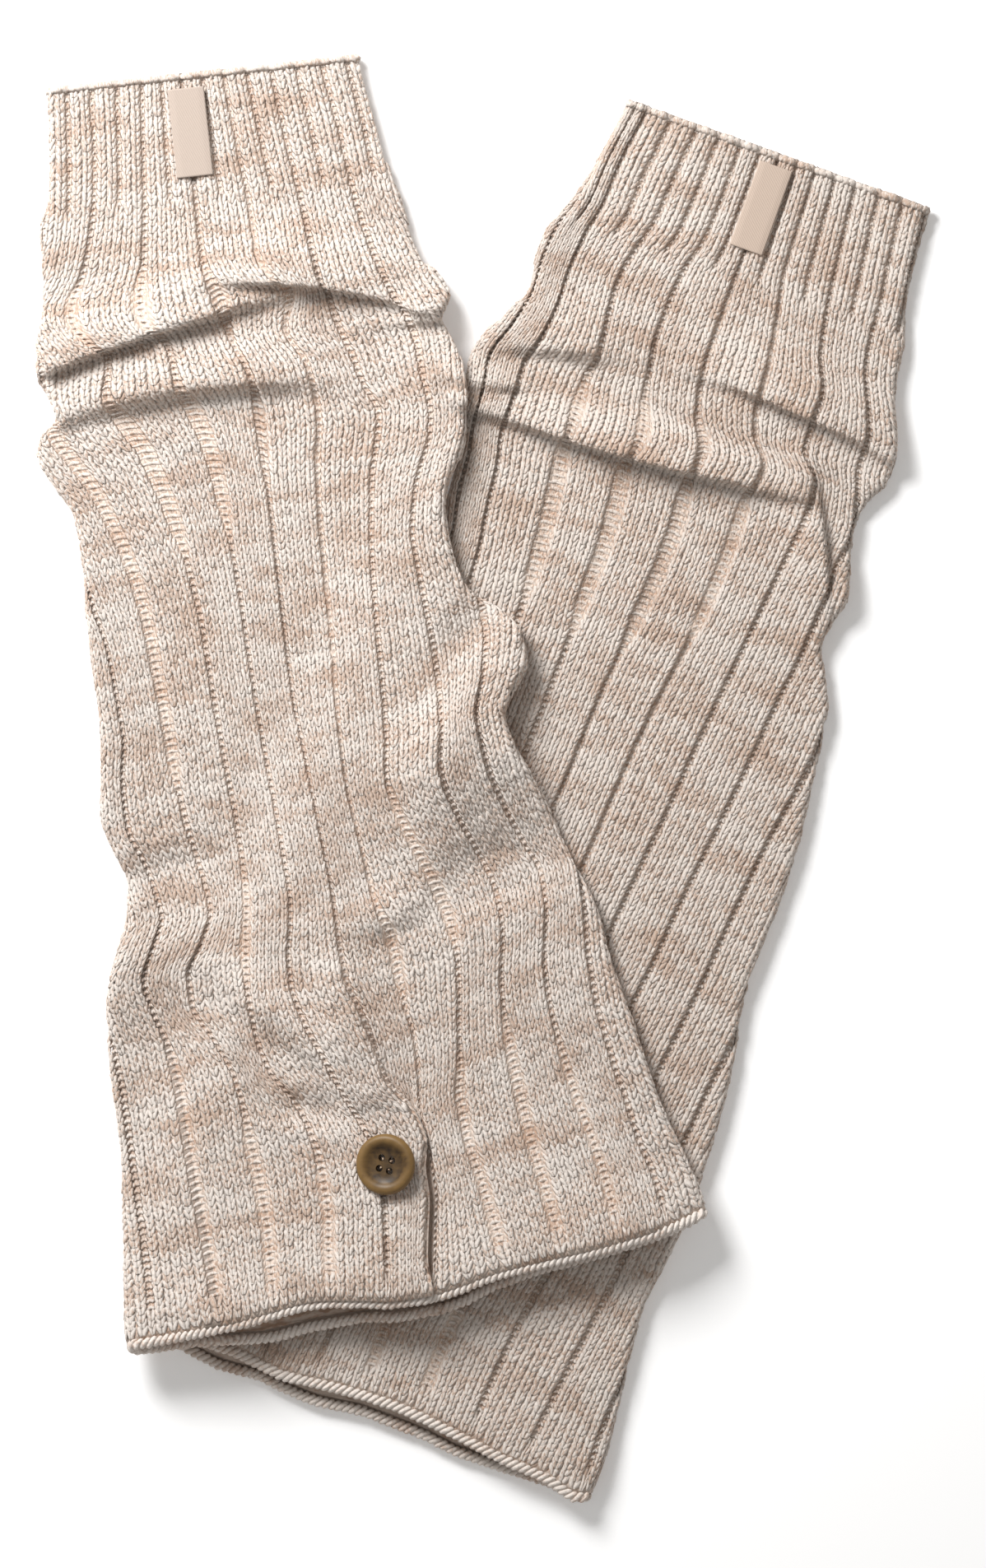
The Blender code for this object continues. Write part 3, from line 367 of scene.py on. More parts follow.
def ease(value):
    """A smooth step from 0 to 1."""
    value = np.clip(value, 0.0, 1.0)
    return value * value * (3.0 - 2.0 * value)


def smooth_curve(knots, values, at):
    """A smooth curve through the knots that never swings past them."""
    knots = np.asarray(knots, float)
    values = np.asarray(values, float)
    steps = np.diff(knots)
    slopes = np.diff(values) / steps
    tangents = np.zeros(len(knots))
    inner = slopes[:-1] * slopes[1:] > 0
    weight_before = 2 * steps[1:] + steps[:-1]
    weight_after = steps[1:] + 2 * steps[:-1]
    safe_before = np.where(inner, slopes[:-1], 1.0)
    safe_after = np.where(inner, slopes[1:], 1.0)
    harmonic = (weight_before + weight_after) / (weight_before / safe_before + weight_after / safe_after)
    tangents[1:-1] = np.where(inner, harmonic, 0.0)
    tangents[0] = slopes[0]
    tangents[-1] = slopes[-1]
    at = np.clip(at, knots[0], knots[-1])
    place = np.clip(np.searchsorted(knots, at) - 1, 0, len(steps) - 1)
    width = steps[place]
    share = (at - knots[place]) / width
    square = share * share
    cube = square * share
    return (
        (2 * cube - 3 * square + 1) * values[place]
        + (cube - 2 * square + share) * width * tangents[place]
        + (3 * square - 2 * cube) * values[place + 1]
        + (cube - square) * width * tangents[place + 1]
    )


# %% One leg warmer
class Leg:
    """One leg warmer: its tables, and where it lies."""

    def __init__(self, name, cuff_at, turn, seam, sections, ribs, rib_columns, hem, folds, opening):
        self.name = name
        self.cuff_at = np.array(cuff_at, float)
        self.along_axis = np.array([math.sin(turn), -math.cos(turn)])
        self.across_axis = np.array([math.cos(turn), math.sin(turn)])
        self.seam = seam
        self.sections = sections
        self.ribs = ribs
        self.rib_columns = rib_columns
        self.hem = hem
        self.folds = folds
        self.has_opening = opening
        self.start = float(sections[0][0])
        self.length = float(sections[-1][0])
        self.lies_over = None

    def at(self, name, along):
        """Left, right or slant of the section at this station."""
        knots = column(self.sections, SECTION_COLUMNS, "along")
        return smooth_curve(knots, column(self.sections, SECTION_COLUMNS, name), along)

    def rib_at(self, number, along):
        """How far across a numbered rib starts."""
        knots = column(self.ribs, self.rib_columns, "along")
        return float(smooth_curve(knots, column(self.ribs, self.rib_columns, number), along))

    def hem_at(self, name, across):
        knots = column(self.hem, HEM_COLUMNS, "across")
        return smooth_curve(knots, column(self.hem, HEM_COLUMNS, name), across)

    def width(self, along):
        return float(self.at("right", along)) - float(self.at("left", along))

    def slant_at(self, across, along):
        """How much further along the slanted section lies at this place across."""
        return float(self.at("slant", along)) * across / self.width(along)

    def thickness(self, along):
        """Height of the flattened tube, in a channel between ribs."""
        open_mouth = ease((along - self.length + MOUTH_REACH) / (MOUTH_REACH - MOUTH_SETTLED))
        return 2 * WALL + HOLLOW + (MOUTH_HOLLOW - HOLLOW) * open_mouth

    def local(self, x, y):
        """(across, along) of a point of the ground."""
        dx = x - self.cuff_at[0]
        dy = y - self.cuff_at[1]
        across = dx * self.across_axis[0] + dy * self.across_axis[1]
        along = dx * self.along_axis[0] + dy * self.along_axis[1]
        return across, along

    def ground(self, across, along):
        x = self.cuff_at[0] + across * self.across_axis[0] + along * self.along_axis[0]
        y = self.cuff_at[1] + across * self.across_axis[1] + along * self.along_axis[1]
        return x, y

    def lift_under(self, x, y):
        """How far the leg warmer below lifts this one off the ground."""
        if self.lies_over is None:
            return np.zeros_like(x)
        below = self.lies_over
        across, along = below.local(x, y)
        width = below.at("right", along) - below.at("left", along)
        station = along - below.at("slant", along) * across / width
        inside = across - below.at("left", station)
        folds = fold_shift(below, across, along)[0]
        height = below.thickness(station + LIFT_AHEAD) + SOLID_RIB_RISE + SEAM_GAP + folds
        return height * ease((inside + REACH_OF_LIFT) / (REACH_OF_LIFT - EARLY_LIFT))


# %% The pair
LEFT = Leg(
    "left", (-91.58, 232.48), math.radians(10.1), 41.0,
    LEFT_SECTIONS, LEFT_RIBS, LEFT_RIB_COLUMNS, LEFT_HEM, LEFT_FOLDS, True,
)
RIGHT = Leg(
    "right", (97.42, 205.48), math.radians(-17.0), 42.0,
    RIGHT_SECTIONS, RIGHT_RIBS, RIGHT_RIB_COLUMNS, RIGHT_HEM, RIGHT_FOLDS, False,
)
LEFT.lies_over = RIGHT


# %% Folds, sections and ribs
def fold_shift(leg, across, along):
    """Height and sideways laps that the folds add to the top layer at these points."""
    lift = np.zeros_like(across)
    shift_across = np.zeros_like(across)
    shift_along = np.zeros_like(across)
    for row in leg.folds:
        fold = dict(zip(FOLD_COLUMNS, row))
        chord_across = fold["across1"] - fold["across0"]
        chord_along = fold["along1"] - fold["along0"]
        length = math.hypot(chord_across, chord_along)
        unit_across = chord_across / length
        unit_along = chord_along / length
        from_across = across - fold["across0"]
        from_along = along - fold["along0"]
        share = (from_across * unit_across + from_along * unit_along) / length
        bow = fold["bow"] * 4.0 * np.clip(share, 0, 1) * (1.0 - np.clip(share, 0, 1))
        past = from_along * unit_across - from_across * unit_along - bow
        start = fold["blunt0"] + (1.0 - fold["blunt0"]) * ease(share / FOLD_FADE)
        start = start * ease(1.0 + share * length / FOLD_END_REACH)
        end = fold["blunt1"] + (1.0 - fold["blunt1"]) * ease((1.0 - share) / FOLD_FADE)
        end = end * ease(1.0 + (1.0 - share) * length / FOLD_END_REACH)
        crest = np.where(past < 0, ease(1.0 + past / fold["up"]), ease(1.0 - past / fold["down"]))
        crest = crest * start * end
        lift = lift + fold["height"] * crest
        shift_across = shift_across - unit_along * fold["lap"] * crest**2
        shift_along = shift_along + unit_across * fold["lap"] * crest**2
    return lift, shift_across, shift_along


def section(leg, along, arcs, inset):
    """Points of the flattened tube at these arc lengths: across, height, and the way out.

    Arc length starts at the left side and runs over the top to the right side, then back below.
    """
    half = leg.thickness(along) / 2 - inset
    left = float(leg.at("left", along)) + inset
    right = float(leg.at("right", along)) - inset
    quarter = math.pi * half / 2
    flat = right - left - 2 * half
    layer = flat + 2 * quarter
    arcs = np.asarray(arcs, float) % (2 * layer)
    on_top = arcs < layer
    arc = np.where(on_top, arcs, 2 * layer - arcs)
    angle = np.where(
        arc < quarter,
        math.pi - arc / half,
        np.where(arc > quarter + flat, math.pi / 2 - (arc - quarter - flat) / half, math.pi / 2),
    )
    across = np.where(
        arc < quarter,
        left + half,
        np.where(arc > quarter + flat, right - half, left + half + arc - quarter),
    )
    side = np.where(on_top, 1.0, -1.0)
    out_across = np.cos(angle)
    out_up = np.sin(angle) * side
    return across + half * out_across, inset + half + half * out_up, out_across, out_up


def layer_length(leg, along, inset):
    """Arc length of one layer of the flattened tube, from side to side."""
    half = leg.thickness(along) / 2 - inset
    return leg.width(along) - 2 * inset - 2 * half + math.pi * half


def arcs_of_ribs(leg, along, ribs):
    """Arc lengths round the tube at which these ribs lie."""
    half = leg.thickness(along) / 2
    left = float(leg.at("left", along))
    numbers = list(leg.rib_columns[1:])
    arcs = [leg.rib_at(number, along) - left + math.pi * half / 2 - half for number in numbers]
    first = numbers[0]
    numbers.append(first + RIBS_ROUND)
    arcs.append(arcs[0] + 2 * layer_length(leg, along, 0.0))
    wrapped = first + (np.asarray(ribs, float) - first) % RIBS_ROUND
    return np.interp(wrapped, numbers, arcs)


def rib_room(leg, station, ribs):
    """1 on a rib of normal width, and less on one that is gathered to almost nothing."""
    place = np.floor(np.asarray(ribs, float)) + 0.5
    before = arcs_of_ribs(leg, station, place - RIB_SAMPLE)
    after = arcs_of_ribs(leg, station, place + RIB_SAMPLE)
    return np.clip((after - before) / LEAST_RIB, 0.0, 1.0)


def hem_pull(leg, station, across, topness):
    """How much further along the hem's own line lies than its straight section."""
    near = float(ease((station - leg.length + HEM_REACH) / (HEM_REACH - HEM_SETTLED)))
    if near == 0.0:
        return np.zeros_like(across)
    straight = leg.length + leg.slant_at(across, station)
    front = leg.hem_at("front", across) - straight
    back = leg.hem_at("back", across) - straight
    frontness = ease((topness - 0.15) / 0.7)
    return near * (front * frontness + back * (1.0 - frontness))


# %% [markdown]
# ## Rows of the cloth
# The solids have a plain rib. The real rib is a rounded band of five columns of knit stitches, with
# one sunken column between it and the next. Where the cloth is stretched sideways that column opens
# into a ladder, and elsewhere it closes to a dark line. Each row of a table names the rib, the
# stations between which the column on its left is open, and half of its width there as a share of
# one rib. The height of the cloth under the stitches follows from how far a point is from it.

# %% Height of the ribs under the stitches
LEFT_OPEN = (
    (0, 95, 235, 0.13),
    (1, 95, 160, 0.14),
    (2, 95, 155, 0.14),
    (3, 100, 140, 0.10),
    (5, 238, 305, 0.11),
    (4, 275, 318, 0.11),
    (1, 255, 300, 0.11),
    (-1, 305, 410, 0.11),
    (0, 335, 410, 0.12),
    (1, 350, 410, 0.11),
    (5, 330, 410, 0.12),
    (6, 320, 410, 0.12),
    (7, 330, 410, 0.10),
    (1, 58, 90, 0.12),
    (2, 58, 90, 0.12),
    (3, 58, 90, 0.11),
    (4, 58, 90, 0.11),
)
RIGHT_OPEN = (
    (1, 105, 170, 0.13),
    (2, 105, 175, 0.13),
    (3, 105, 175, 0.13),
    (4, 105, 165, 0.11),
    (5, 300, 440, 0.10),
    (6, 300, 440, 0.10),
    (1, 84, 112, 0.11),
    (2, 84, 112, 0.11),
    (3, 84, 112, 0.11),
)
LEFT.open_channels = LEFT_OPEN
RIGHT.open_channels = RIGHT_OPEN
CLOSED_HALF = 0.055
OPEN_FADE = 16.0
WIDE_RISE = 0.85
SINK = 0.9
ROUNDING = 0.2
NARROW_RISE = 0.9
NARROW_SINK = 0.95
NARROW_SLOPE = 0.32
PLAIN_RISE = 0.1
PLAIN_AT_HEM = 9.0
SEAM_BEFORE = 3.0
SEAM_BLEND = 8.0


def channel_half(leg, station, ribs):
    """Half of the channel's width beside these ribs, as a share of one rib."""
    half = np.full(np.broadcast(station, ribs).shape, CLOSED_HALF)
    for rib, start, end, width in leg.open_channels:
        near = ease((station - start) / OPEN_FADE) * ease((end - station) / OPEN_FADE)
        opened = CLOSED_HALF + (width - CLOSED_HALF) * near
        half = np.where(np.abs(ribs - rib) <= 0.5, np.maximum(half, opened), half)
    return half


def relief(leg, station, ribs):
    """How high the cloth stands on its ribs: wide ones, or narrow ones on the cuff."""
    from_channel = np.abs(ribs - np.round(ribs))
    half = channel_half(leg, station, ribs)
    rounded = 1.0 - ROUNDING + ROUNDING * np.sin(np.pi * (ribs % 1.0))
    wide = ease((from_channel - 0.45 * half) / (half + 0.02))
    wide = (WIDE_RISE + SINK) * wide * rounded - SINK
    from_narrow = np.abs(2 * ribs - np.round(2 * ribs))
    narrow = (NARROW_RISE + NARROW_SINK) * ease(from_narrow / NARROW_SLOPE) - NARROW_SINK
    ribbed = ease((leg.length - 2 * HEM_ROLL_RADIUS - station) / PLAIN_AT_HEM)
    wide = PLAIN_RISE * (1.0 - ribbed) + wide * ribbed
    body = ease((station - leg.seam + SEAM_BEFORE) / SEAM_BLEND)
    return narrow * (1.0 - body) + wide * body


def rib_line(leg, station, rib):
    """How far across a rib lies on the top layer."""
    arc = arcs_of_ribs(leg, station, [rib])
    return float(section(leg, station, arc, 0.0)[0][0])


def flap_grown(station):
    """How far the front panel has parted from the other one, from 0 to 1."""
    return float(ease((station - PINCH_TOP) / (FLAP_TOP - PINCH_TOP)))


def flap_over(leg, station, across, ribs):
    """Height and sideways shift of the front panel, which laps over the other at its edge rib."""
    if not leg.has_opening or station < PINCH_TOP:
        return np.zeros_like(across), np.zeros_like(across)
    full_at = rib_line(leg, station, FLAP_EDGE_RIB - 1.0)
    slope = ease((across - full_at + STEP_REACH) / STEP_REACH)
    edge = ease((ribs - FLAP_EDGE_RIB + 0.1) / 0.1)
    slit = float(ease((station - SLIT_FROM) / 10.0) * ease((SLIT_TO - station) / 12.0))
    drawn_back = SLIT_WIDTH * slit * ease((ribs - FLAP_EDGE_RIB + 0.7) / 0.7)
    over = (ribs > -2.0) & (ribs <= FLAP_EDGE_RIB + 0.001)
    under = (ribs > FLAP_EDGE_RIB + 0.001) & (ribs < FLAP_EDGE_RIB + 1.0)
    hidden = FLAP_EDGE_RIB + 1.0 - ribs  # how far in from where the panel below comes out
    height = np.where(over, STEP_HEIGHT * slope - EDGE_DROP * edge, 0.0) * flap_grown(station)
    height = height - np.where(under, TUCK_SINK * ease(hidden / 0.3), 0.0) * flap_grown(station)
    tucked = np.where(under, -(TUCK_IN + SLIT_WIDTH * slit) * hidden, 0.0)
    aside = np.where(over, EDGE_OUT * edge - drawn_back, 0.0) + tucked
    return height, aside * flap_grown(station)


def mouth_lift(leg, station, across):
    """How far the front of the left leg's open end stands up from the layer below it."""
    near = float(ease((station - leg.length + MOUTH_LIFT_REACH) / MOUTH_LIFT_REACH))
    if not leg.has_opening or near == 0.0:
        return np.zeros_like(across)
    from_left = ease((across - float(leg.at("left", station))) / MOUTH_LEFT_SLOPE)
    from_right = ease((float(leg.at("right", station)) - across) / MOUTH_RIGHT_SLOPE)
    return MOUTH_LIFT * near * from_left * from_right


def lay(leg, station, across, height, ribs, core=False):
    """Points of one row in millimetres: folded, slanted, and lying on what is below."""
    thick = leg.thickness(station)
    topness = np.clip(height / thick, 0.0, 1.0)
    along = station + leg.slant_at(across, station)
    lift, shift_across, shift_along = fold_shift(leg, across, along)
    over, aside = flap_over(leg, station, across, ribs)
    lift = np.maximum(lift + over + mouth_lift(leg, station, across), -LOWEST_HOLLOW)
    along = along + hem_pull(leg, station, across, topness)
    if core:
        lift = np.where(lift < 0, lift, np.minimum((1.0 - FOLD_CORE) * lift, INNER_LIFT_MOST))
    else:
        across = across + (shift_across + aside) * topness
        along = along + shift_along * topness
    x, y = leg.ground(across, along)
    z = height + lift * topness + leg.lift_under(x, y)
    return np.stack([x, y, z], axis=-1)


def outer_row(leg, station, ribs):
    """The outside of the cloth at one station, under its stitches, in millimetres."""
    ribs = np.asarray(ribs, float)
    arcs = arcs_of_ribs(leg, station, ribs)
    across, height, out_across, out_up = section(leg, station, arcs, 0.0)
    rise = relief(leg, station, ribs) * rib_room(leg, station, ribs)
    lift = rise * ease((out_up + 0.6) / 0.9)
    return lay(leg, station, across + lift * out_across, height + lift * out_up, ribs)


def inner_row(leg, station, shares):
    """The plain inside of the tube at one station."""
    arcs = np.asarray(shares) * 2 * layer_length(leg, station, WALL)
    across, height = section(leg, station, arcs, WALL)[:2]
    return lay(leg, station, across, height, np.full(len(across), NO_RIB), core=True)


print("channel half-widths:", channel_half(LEFT, 120.0, np.array([0.0, 1.0, 6.0])))

# %% [markdown]
# ## The cloth itself
# Under its stitches each leg warmer is one closed shell: the outside, the plain inside, and a rim at
# each end where they meet. It could be a plane with Solidify, but the inside of a pressed tube is
# flatter than its outside, so both are laid out row by row. Rows are closer together where the cloth
# folds. Every point also gets its place on the knitting chart, in stitch columns and courses, so
# that colours follow the knitting and not the folds.

# %% The knitting chart
COURSE = 2.35  # millimetres from one course to the next
CHART_RIB = 16.0  # millimetres of a rib at rest
CHART_RIBS = 28.0  # the chart's whole size, in ribs and in courses, and where it starts
CHART_COURSES = 210.0
CHART_START = -5.0
CHART_MARGIN = 3.0
CUFF_COURSES = 18.0
EVENED_OVER = 15  # columns over which the courses are kept level
FOLD_ZONE = (56.0, 116.0)
HEM_OVERRUN = 2.0
LEFT.body_courses = 168.0
RIGHT.body_courses = 180.0


def chart_uv(ribs, courses):
    """Where a rib and a course lie on the unit square of the chart."""
    u = (np.asarray(ribs) - CHART_START) / CHART_RIBS
    return u, 1 - (np.asarray(courses) + CHART_MARGIN) / CHART_COURSES


def fine_stations(leg, step, fold_step, start, end):
    """Stations from start to end, closer together where the cloth folds, with one at the seam."""
    cuts = [start, leg.seam, FOLD_ZONE[0], FOLD_ZONE[1], end]
    found = []
    for low, high in zip(cuts, cuts[1:]):
        here = fold_step if low == FOLD_ZONE[0] else step
        count = max(2, round((high - low) / here))
        found += list(np.linspace(low, high, count + 1)[:-1])
    return np.array(found + [end])


def courses_of(leg, stations, points):
    """The course number of every point: courses are spaced along the cloth's own surface."""
    run = np.linalg.norm(np.diff(points, axis=0), axis=2)
    run = np.concatenate([np.zeros((1, points.shape[1])), np.cumsum(run, axis=0)])
    padded = np.pad(run, ((0, 0), (EVENED_OVER, EVENED_OVER)), mode="edge")
    windows = [padded[:, k : k + run.shape[1]] for k in range(2 * EVENED_OVER + 1)]
    run = np.mean(windows, axis=0)
    marks = (leg.start, leg.seam, leg.length - 1.4 * HEM_ROLL_RADIUS)
    first, seam, last = [int(np.argmin(np.abs(stations - mark))) for mark in marks]
    cuff = (run - run[first]) / (run[seam] - run[first]) * CUFF_COURSES
    body = CUFF_COURSES + (run - run[seam]) / (run[last] - run[seam]) * leg.body_courses
    return np.where(np.arange(len(stations))[:, None] <= seam, cuff, body)


# %% The guide that the stitches will follow
GUIDE_STEP = 1.4
GUIDE_FOLD_STEP = 0.7
GUIDE_LEAD = 5.0  # how far the guide runs on past the cuff's edge
BESIDE_FLAP = (2.86, 2.92, 2.96, 2.985, 3.0, 3.004, 3.03, 3.05, 3.97, 4.03)


class Guide:
    """A fine picture of the outside of a leg: its points, its way out and its chart places."""

    def __init__(self, leg):
        self.leg = leg
        end = leg.length + HEM_OVERRUN
        start = leg.start - GUIDE_LEAD
        self.stations = fine_stations(leg, GUIDE_STEP, GUIDE_FOLD_STEP, start, end)
        shown = np.arange(-3.0, 12.601, 0.1)
        self.ribs = np.array(sorted(set(np.round(shown, 4)) | set(BESIDE_FLAP)))
        self.points = np.stack([outer_row(leg, s, self.ribs) for s in self.stations])
        self.courses = courses_of(leg, self.stations, self.points)
        down = np.gradient(self.points, axis=0)
        right = np.gradient(self.points, axis=1)
        out = np.cross(down, right)
        self.out = out / np.maximum(np.linalg.norm(out, axis=2), 1e-9)[:, :, None]
        self.rib_width = np.linalg.norm(right, axis=2) / np.gradient(self.ribs)[None, :]

    def at(self, ribs, courses):
        """Station, way up, rib width and point at these places of the chart."""
        place = np.interp(ribs, self.ribs, np.arange(len(self.ribs)))
        col = np.clip(np.round(place).astype(int), 0, len(self.ribs) - 1)
        rows = np.empty(len(ribs), int)
        for k in np.unique(col):
            mine = col == k
            rows[mine] = np.searchsorted(self.courses[:, k], courses[mine])
        rows = np.clip(rows, 0, len(self.stations) - 1)
        way_up = self.out[rows, col, 2]
        return self.stations[rows], way_up, self.rib_width[rows, col], self.points[rows, col]


guides = {leg.name: Guide(leg) for leg in (LEFT, RIGHT)}
for name, guide in guides.items():
    total = np.linalg.norm(np.diff(guide.points, axis=0), axis=2).sum(axis=0)
    print(name, "guide", guide.points.shape[:2], "cloth length mm", total.min(), total.max())

# %% Helpers for meshes
def new_object(name, data, shown=True):
    made = bpy.data.objects.new(name, data)
    if shown:
        bpy.context.scene.collection.objects.link(made)
    return made


def finished(mesh, name, shown=True, outwards=True):
    """Turns a bmesh into a smooth object, with its faces pointing outwards."""
    if outwards:
        bmesh.ops.recalc_face_normals(mesh, faces=mesh.faces)
    for face in mesh.faces:
        face.smooth = True
    data = bpy.data.meshes.new(name)
    mesh.to_mesh(data)
    mesh.free()
    return new_object(name, data, shown)


def triangles(obj):
    obj.data.calc_loop_triangles()
    return len(obj.data.loop_triangles)


# %% The shell of each leg warmer
SHELL_COLUMNS = 8  # points on each rib that shows
HIDDEN_COLUMNS = 4  # and on each rib below
FIRST_SHOWN, FIRST_HIDDEN, LAST_HIDDEN = -1, 10, 19
SHELL_BESIDE_FLAP = (2.93, 2.97, 3.0, 3.004, 3.05)
SHELL_STEP = 2.6
SHELL_FOLD_STEP = 1.3
INNER_COLUMNS = 44
INNER_STEP = 9.0
RIM_SLOPE = 1.5  # how much sooner the inside ends than the outside
INNER_CHART = (20.5, 2.0)  # the inside's own place on the chart: its first rib and its width


def add_rings(mesh, rings):
    """Adds closed rings of points and the walls between them. Returns the rings' vertices."""
    made = [[mesh.verts.new(point * MM) for point in ring] for ring in rings]
    for ring, following in zip(made, made[1:]):
        for j in range(len(ring)):
            k = (j + 1) % len(ring)
            mesh.faces.new((ring[j], ring[k], following[k], following[j]))
    return made


def bridge(mesh, ring, shares, other, other_shares):
    """Closes the gap between two rings that have different numbers of points."""
    i = 0
    j = 0
    while i < len(ring) or j < len(other):
        next_i = shares[i + 1] if i + 1 < len(ring) else shares[0] + 1.0
        next_j = other_shares[j + 1] if j + 1 < len(other) else other_shares[0] + 1.0
        a = ring[i % len(ring)]
        b = other[j % len(other)]
        step_i = j >= len(other) or (i < len(ring) and next_i <= next_j)
        if step_i:
            mesh.faces.new((a, ring[(i + 1) % len(ring)], b))
            i += 1
        else:
            mesh.faces.new((a, other[(j + 1) % len(other)], b))
            j += 1


def shell_ribs():
    """Rib places of the shell's points: many on the ribs that show, fewer on those below."""
    shown = np.arange(FIRST_SHOWN * SHELL_COLUMNS, FIRST_HIDDEN * SHELL_COLUMNS) / SHELL_COLUMNS
    below = np.arange(FIRST_HIDDEN * HIDDEN_COLUMNS, LAST_HIDDEN * HIDDEN_COLUMNS) / HIDDEN_COLUMNS
    return np.array(sorted(set(shown) | set(SHELL_BESIDE_FLAP) | set(below)))


def make_shell(leg):
    """One closed shell: outside, inside and rims, with each point's place on the chart."""
    ribs = shell_ribs()
    end = leg.length - 1.3 * HEM_ROLL_RADIUS
    stations = fine_stations(leg, SHELL_STEP, SHELL_FOLD_STEP, leg.start, end)
    outside = np.stack([outer_row(leg, s, ribs) for s in stations])
    courses = courses_of(leg, stations, outside)
    shares = np.arange(INNER_COLUMNS) / INNER_COLUMNS
    inner_stations = fine_stations(leg, INNER_STEP, INNER_STEP, leg.start, end - RIM_SLOPE)
    inside = np.stack([inner_row(leg, s, shares) for s in inner_stations])
    mesh = bmesh.new()
    chart = mesh.verts.layers.float_vector.new("chart")
    outer = add_rings(mesh, outside)
    inner = add_rings(mesh, inside)
    for row, ring in enumerate(outer):
        for k, vert in enumerate(ring):
            u, v = chart_uv(ribs[k], courses[row, k])
            vert[chart] = (u, v, 0.0)
    for row, ring in enumerate(inner):
        for k, vert in enumerate(ring):
            u, v = chart_uv(INNER_CHART[0] + INNER_CHART[1] * shares[k], inner_stations[row] / COURSE)
            vert[chart] = (u, v, 1.0)
    for edge in (0, -1):
        station = stations[edge]
        around = 2 * layer_length(leg, station, 0.0)
        places = (arcs_of_ribs(leg, station, ribs) / around) % 1.0
        order = np.argsort(places)
        ring = [outer[edge][k] for k in order]
        bridge(mesh, ring, [float(places[k]) for k in order], inner[edge], list(shares))
    uv = mesh.loops.layers.uv.new("OFBake")
    for face in mesh.faces:
        for loop in face.loops:
            loop[uv].uv = loop.vert[chart][:2]
    return finished(mesh, leg.name + "_leg_cloth")


shells = {leg.name: make_shell(leg) for leg in (LEFT, RIGHT)}
for name, shell in shells.items():
    print(name, "shell triangles", triangles(shell))

# %% [markdown]
# ## One stitch
# A knit stitch shows as a V whose point faces the hem: two plump lobes of yarn that lean together.
# The pointed end lies on top of the next stitch, and the wide end dips under the one before. It
# could be a bent tube, but thousands of them are needed, so each lobe is a spindle with few faces
# and smooth shading. A purl stitch shows only as a short bar of yarn across the sunken column.

# %% Meshes of a knit stitch and of a purl bar
STITCH_WIDE = 3.0
LOBE_SIDES = 4
LOBE_RINGS = ((0.10, 0.75), (0.42, 1.0), (0.80, 0.92))


def spindle(mesh, start, end, half_wide, half_high):
    """A closed spindle of yarn from start to end, flattened towards the cloth."""
    start = Vector(start)
    end = Vector(end)
    axis = (end - start).normalized()
    aside = axis.cross(Vector((0, 0, 1))).normalized()
    up = aside.cross(axis).normalized()
    first = mesh.verts.new(start)
    last = mesh.verts.new(end)
    rings = []
    for share, size in LOBE_RINGS:
        middle = start.lerp(end, share)
        ring = []
        for k in range(LOBE_SIDES):
            turn = 2 * math.pi * k / LOBE_SIDES
            reach = aside * half_wide * size * math.cos(turn) + up * half_high * size * math.sin(turn)
            ring.append(mesh.verts.new(middle + reach))
        rings.append(ring)
    for k in range(LOBE_SIDES):
        n = (k + 1) % LOBE_SIDES
        mesh.faces.new((first, rings[0][k], rings[0][n]))
        mesh.faces.new((last, rings[-1][n], rings[-1][k]))
        for ring, following in zip(rings, rings[1:]):
            mesh.faces.new((ring[k], following[k], following[n], ring[n]))


def template(name, spindles):
    """A mesh of closed spindles, kept out of the scene, for Geometry Nodes to repeat."""
    mesh = bmesh.new()
    for spec in spindles:
        spindle(mesh, *spec)
    return finished(mesh, name, shown=False)


LOBE_REACH = 0.88 * COURSE
KNIT_LOBES = [
    ((side * 0.28, -LOBE_REACH, 0.34), (side * 1.18, LOBE_REACH, 0.06), 0.78, 0.37)
    for side in (-1, 1)
]
PURL_LOBES = [
    ((-1.7, -0.45, -0.15), (0.45, 0.45, 0.25), 0.68, 0.52),
    ((-0.45, 0.45, 0.25), (1.7, -0.45, -0.15), 0.68, 0.52),
]
EDGE_LOBES = [((-1.9, 0.25, 0.55), (1.9, -0.25, 0.55), 1.35, 0.75)]
knit_stitch = template("knit stitch", KNIT_LOBES)
purl_bar = template("purl bar", PURL_LOBES)
edge_loop = template("edge loop", EDGE_LOBES)
print("triangles of a knit stitch:", triangles(knit_stitch), "of a purl bar:", triangles(purl_bar))

# %% [markdown]
# ## Where the stitches go
# The chart is a flat sheet of squared paper: stitch columns across, courses down. A wide rib has
# five knit columns and one sunken purl column, and a narrow cuff rib has two and one. Points are set
# on the chart only where a stitch can be seen: on top and round the two sides, not under the leg,
# not inside the flap's overlap, and not where the other leg warmer covers the cloth.

# %% Points on the chart
KNITS_PER_RIB = 5
FIRST_RIB, LAST_RIB = -3, 12
NARROW_HALF = 0.085
LOWEST_WAY_UP = -0.45  # a stitch that points further down than this isn't seen
RIBS_DRAWN = (-2.8, 12.4)
LEAST_RIB_WIDTH = 5.5
COVERED_BY = 9.0  # how deep under the other leg warmer the stitches end
COVERED_FROM = 4.0
HEM_CLEAR = 4.4
TUCK_SEEN = 42.0
PAST_SIDE = 4.5  # how far round a side the stitches go, and how far where the cloth still faces up
PAST_SIDE_IF_UP = 20.0
PLAIN_ABOVE_HEM = 2 * HEM_ROLL_RADIUS + PLAIN_AT_HEM - 3.0


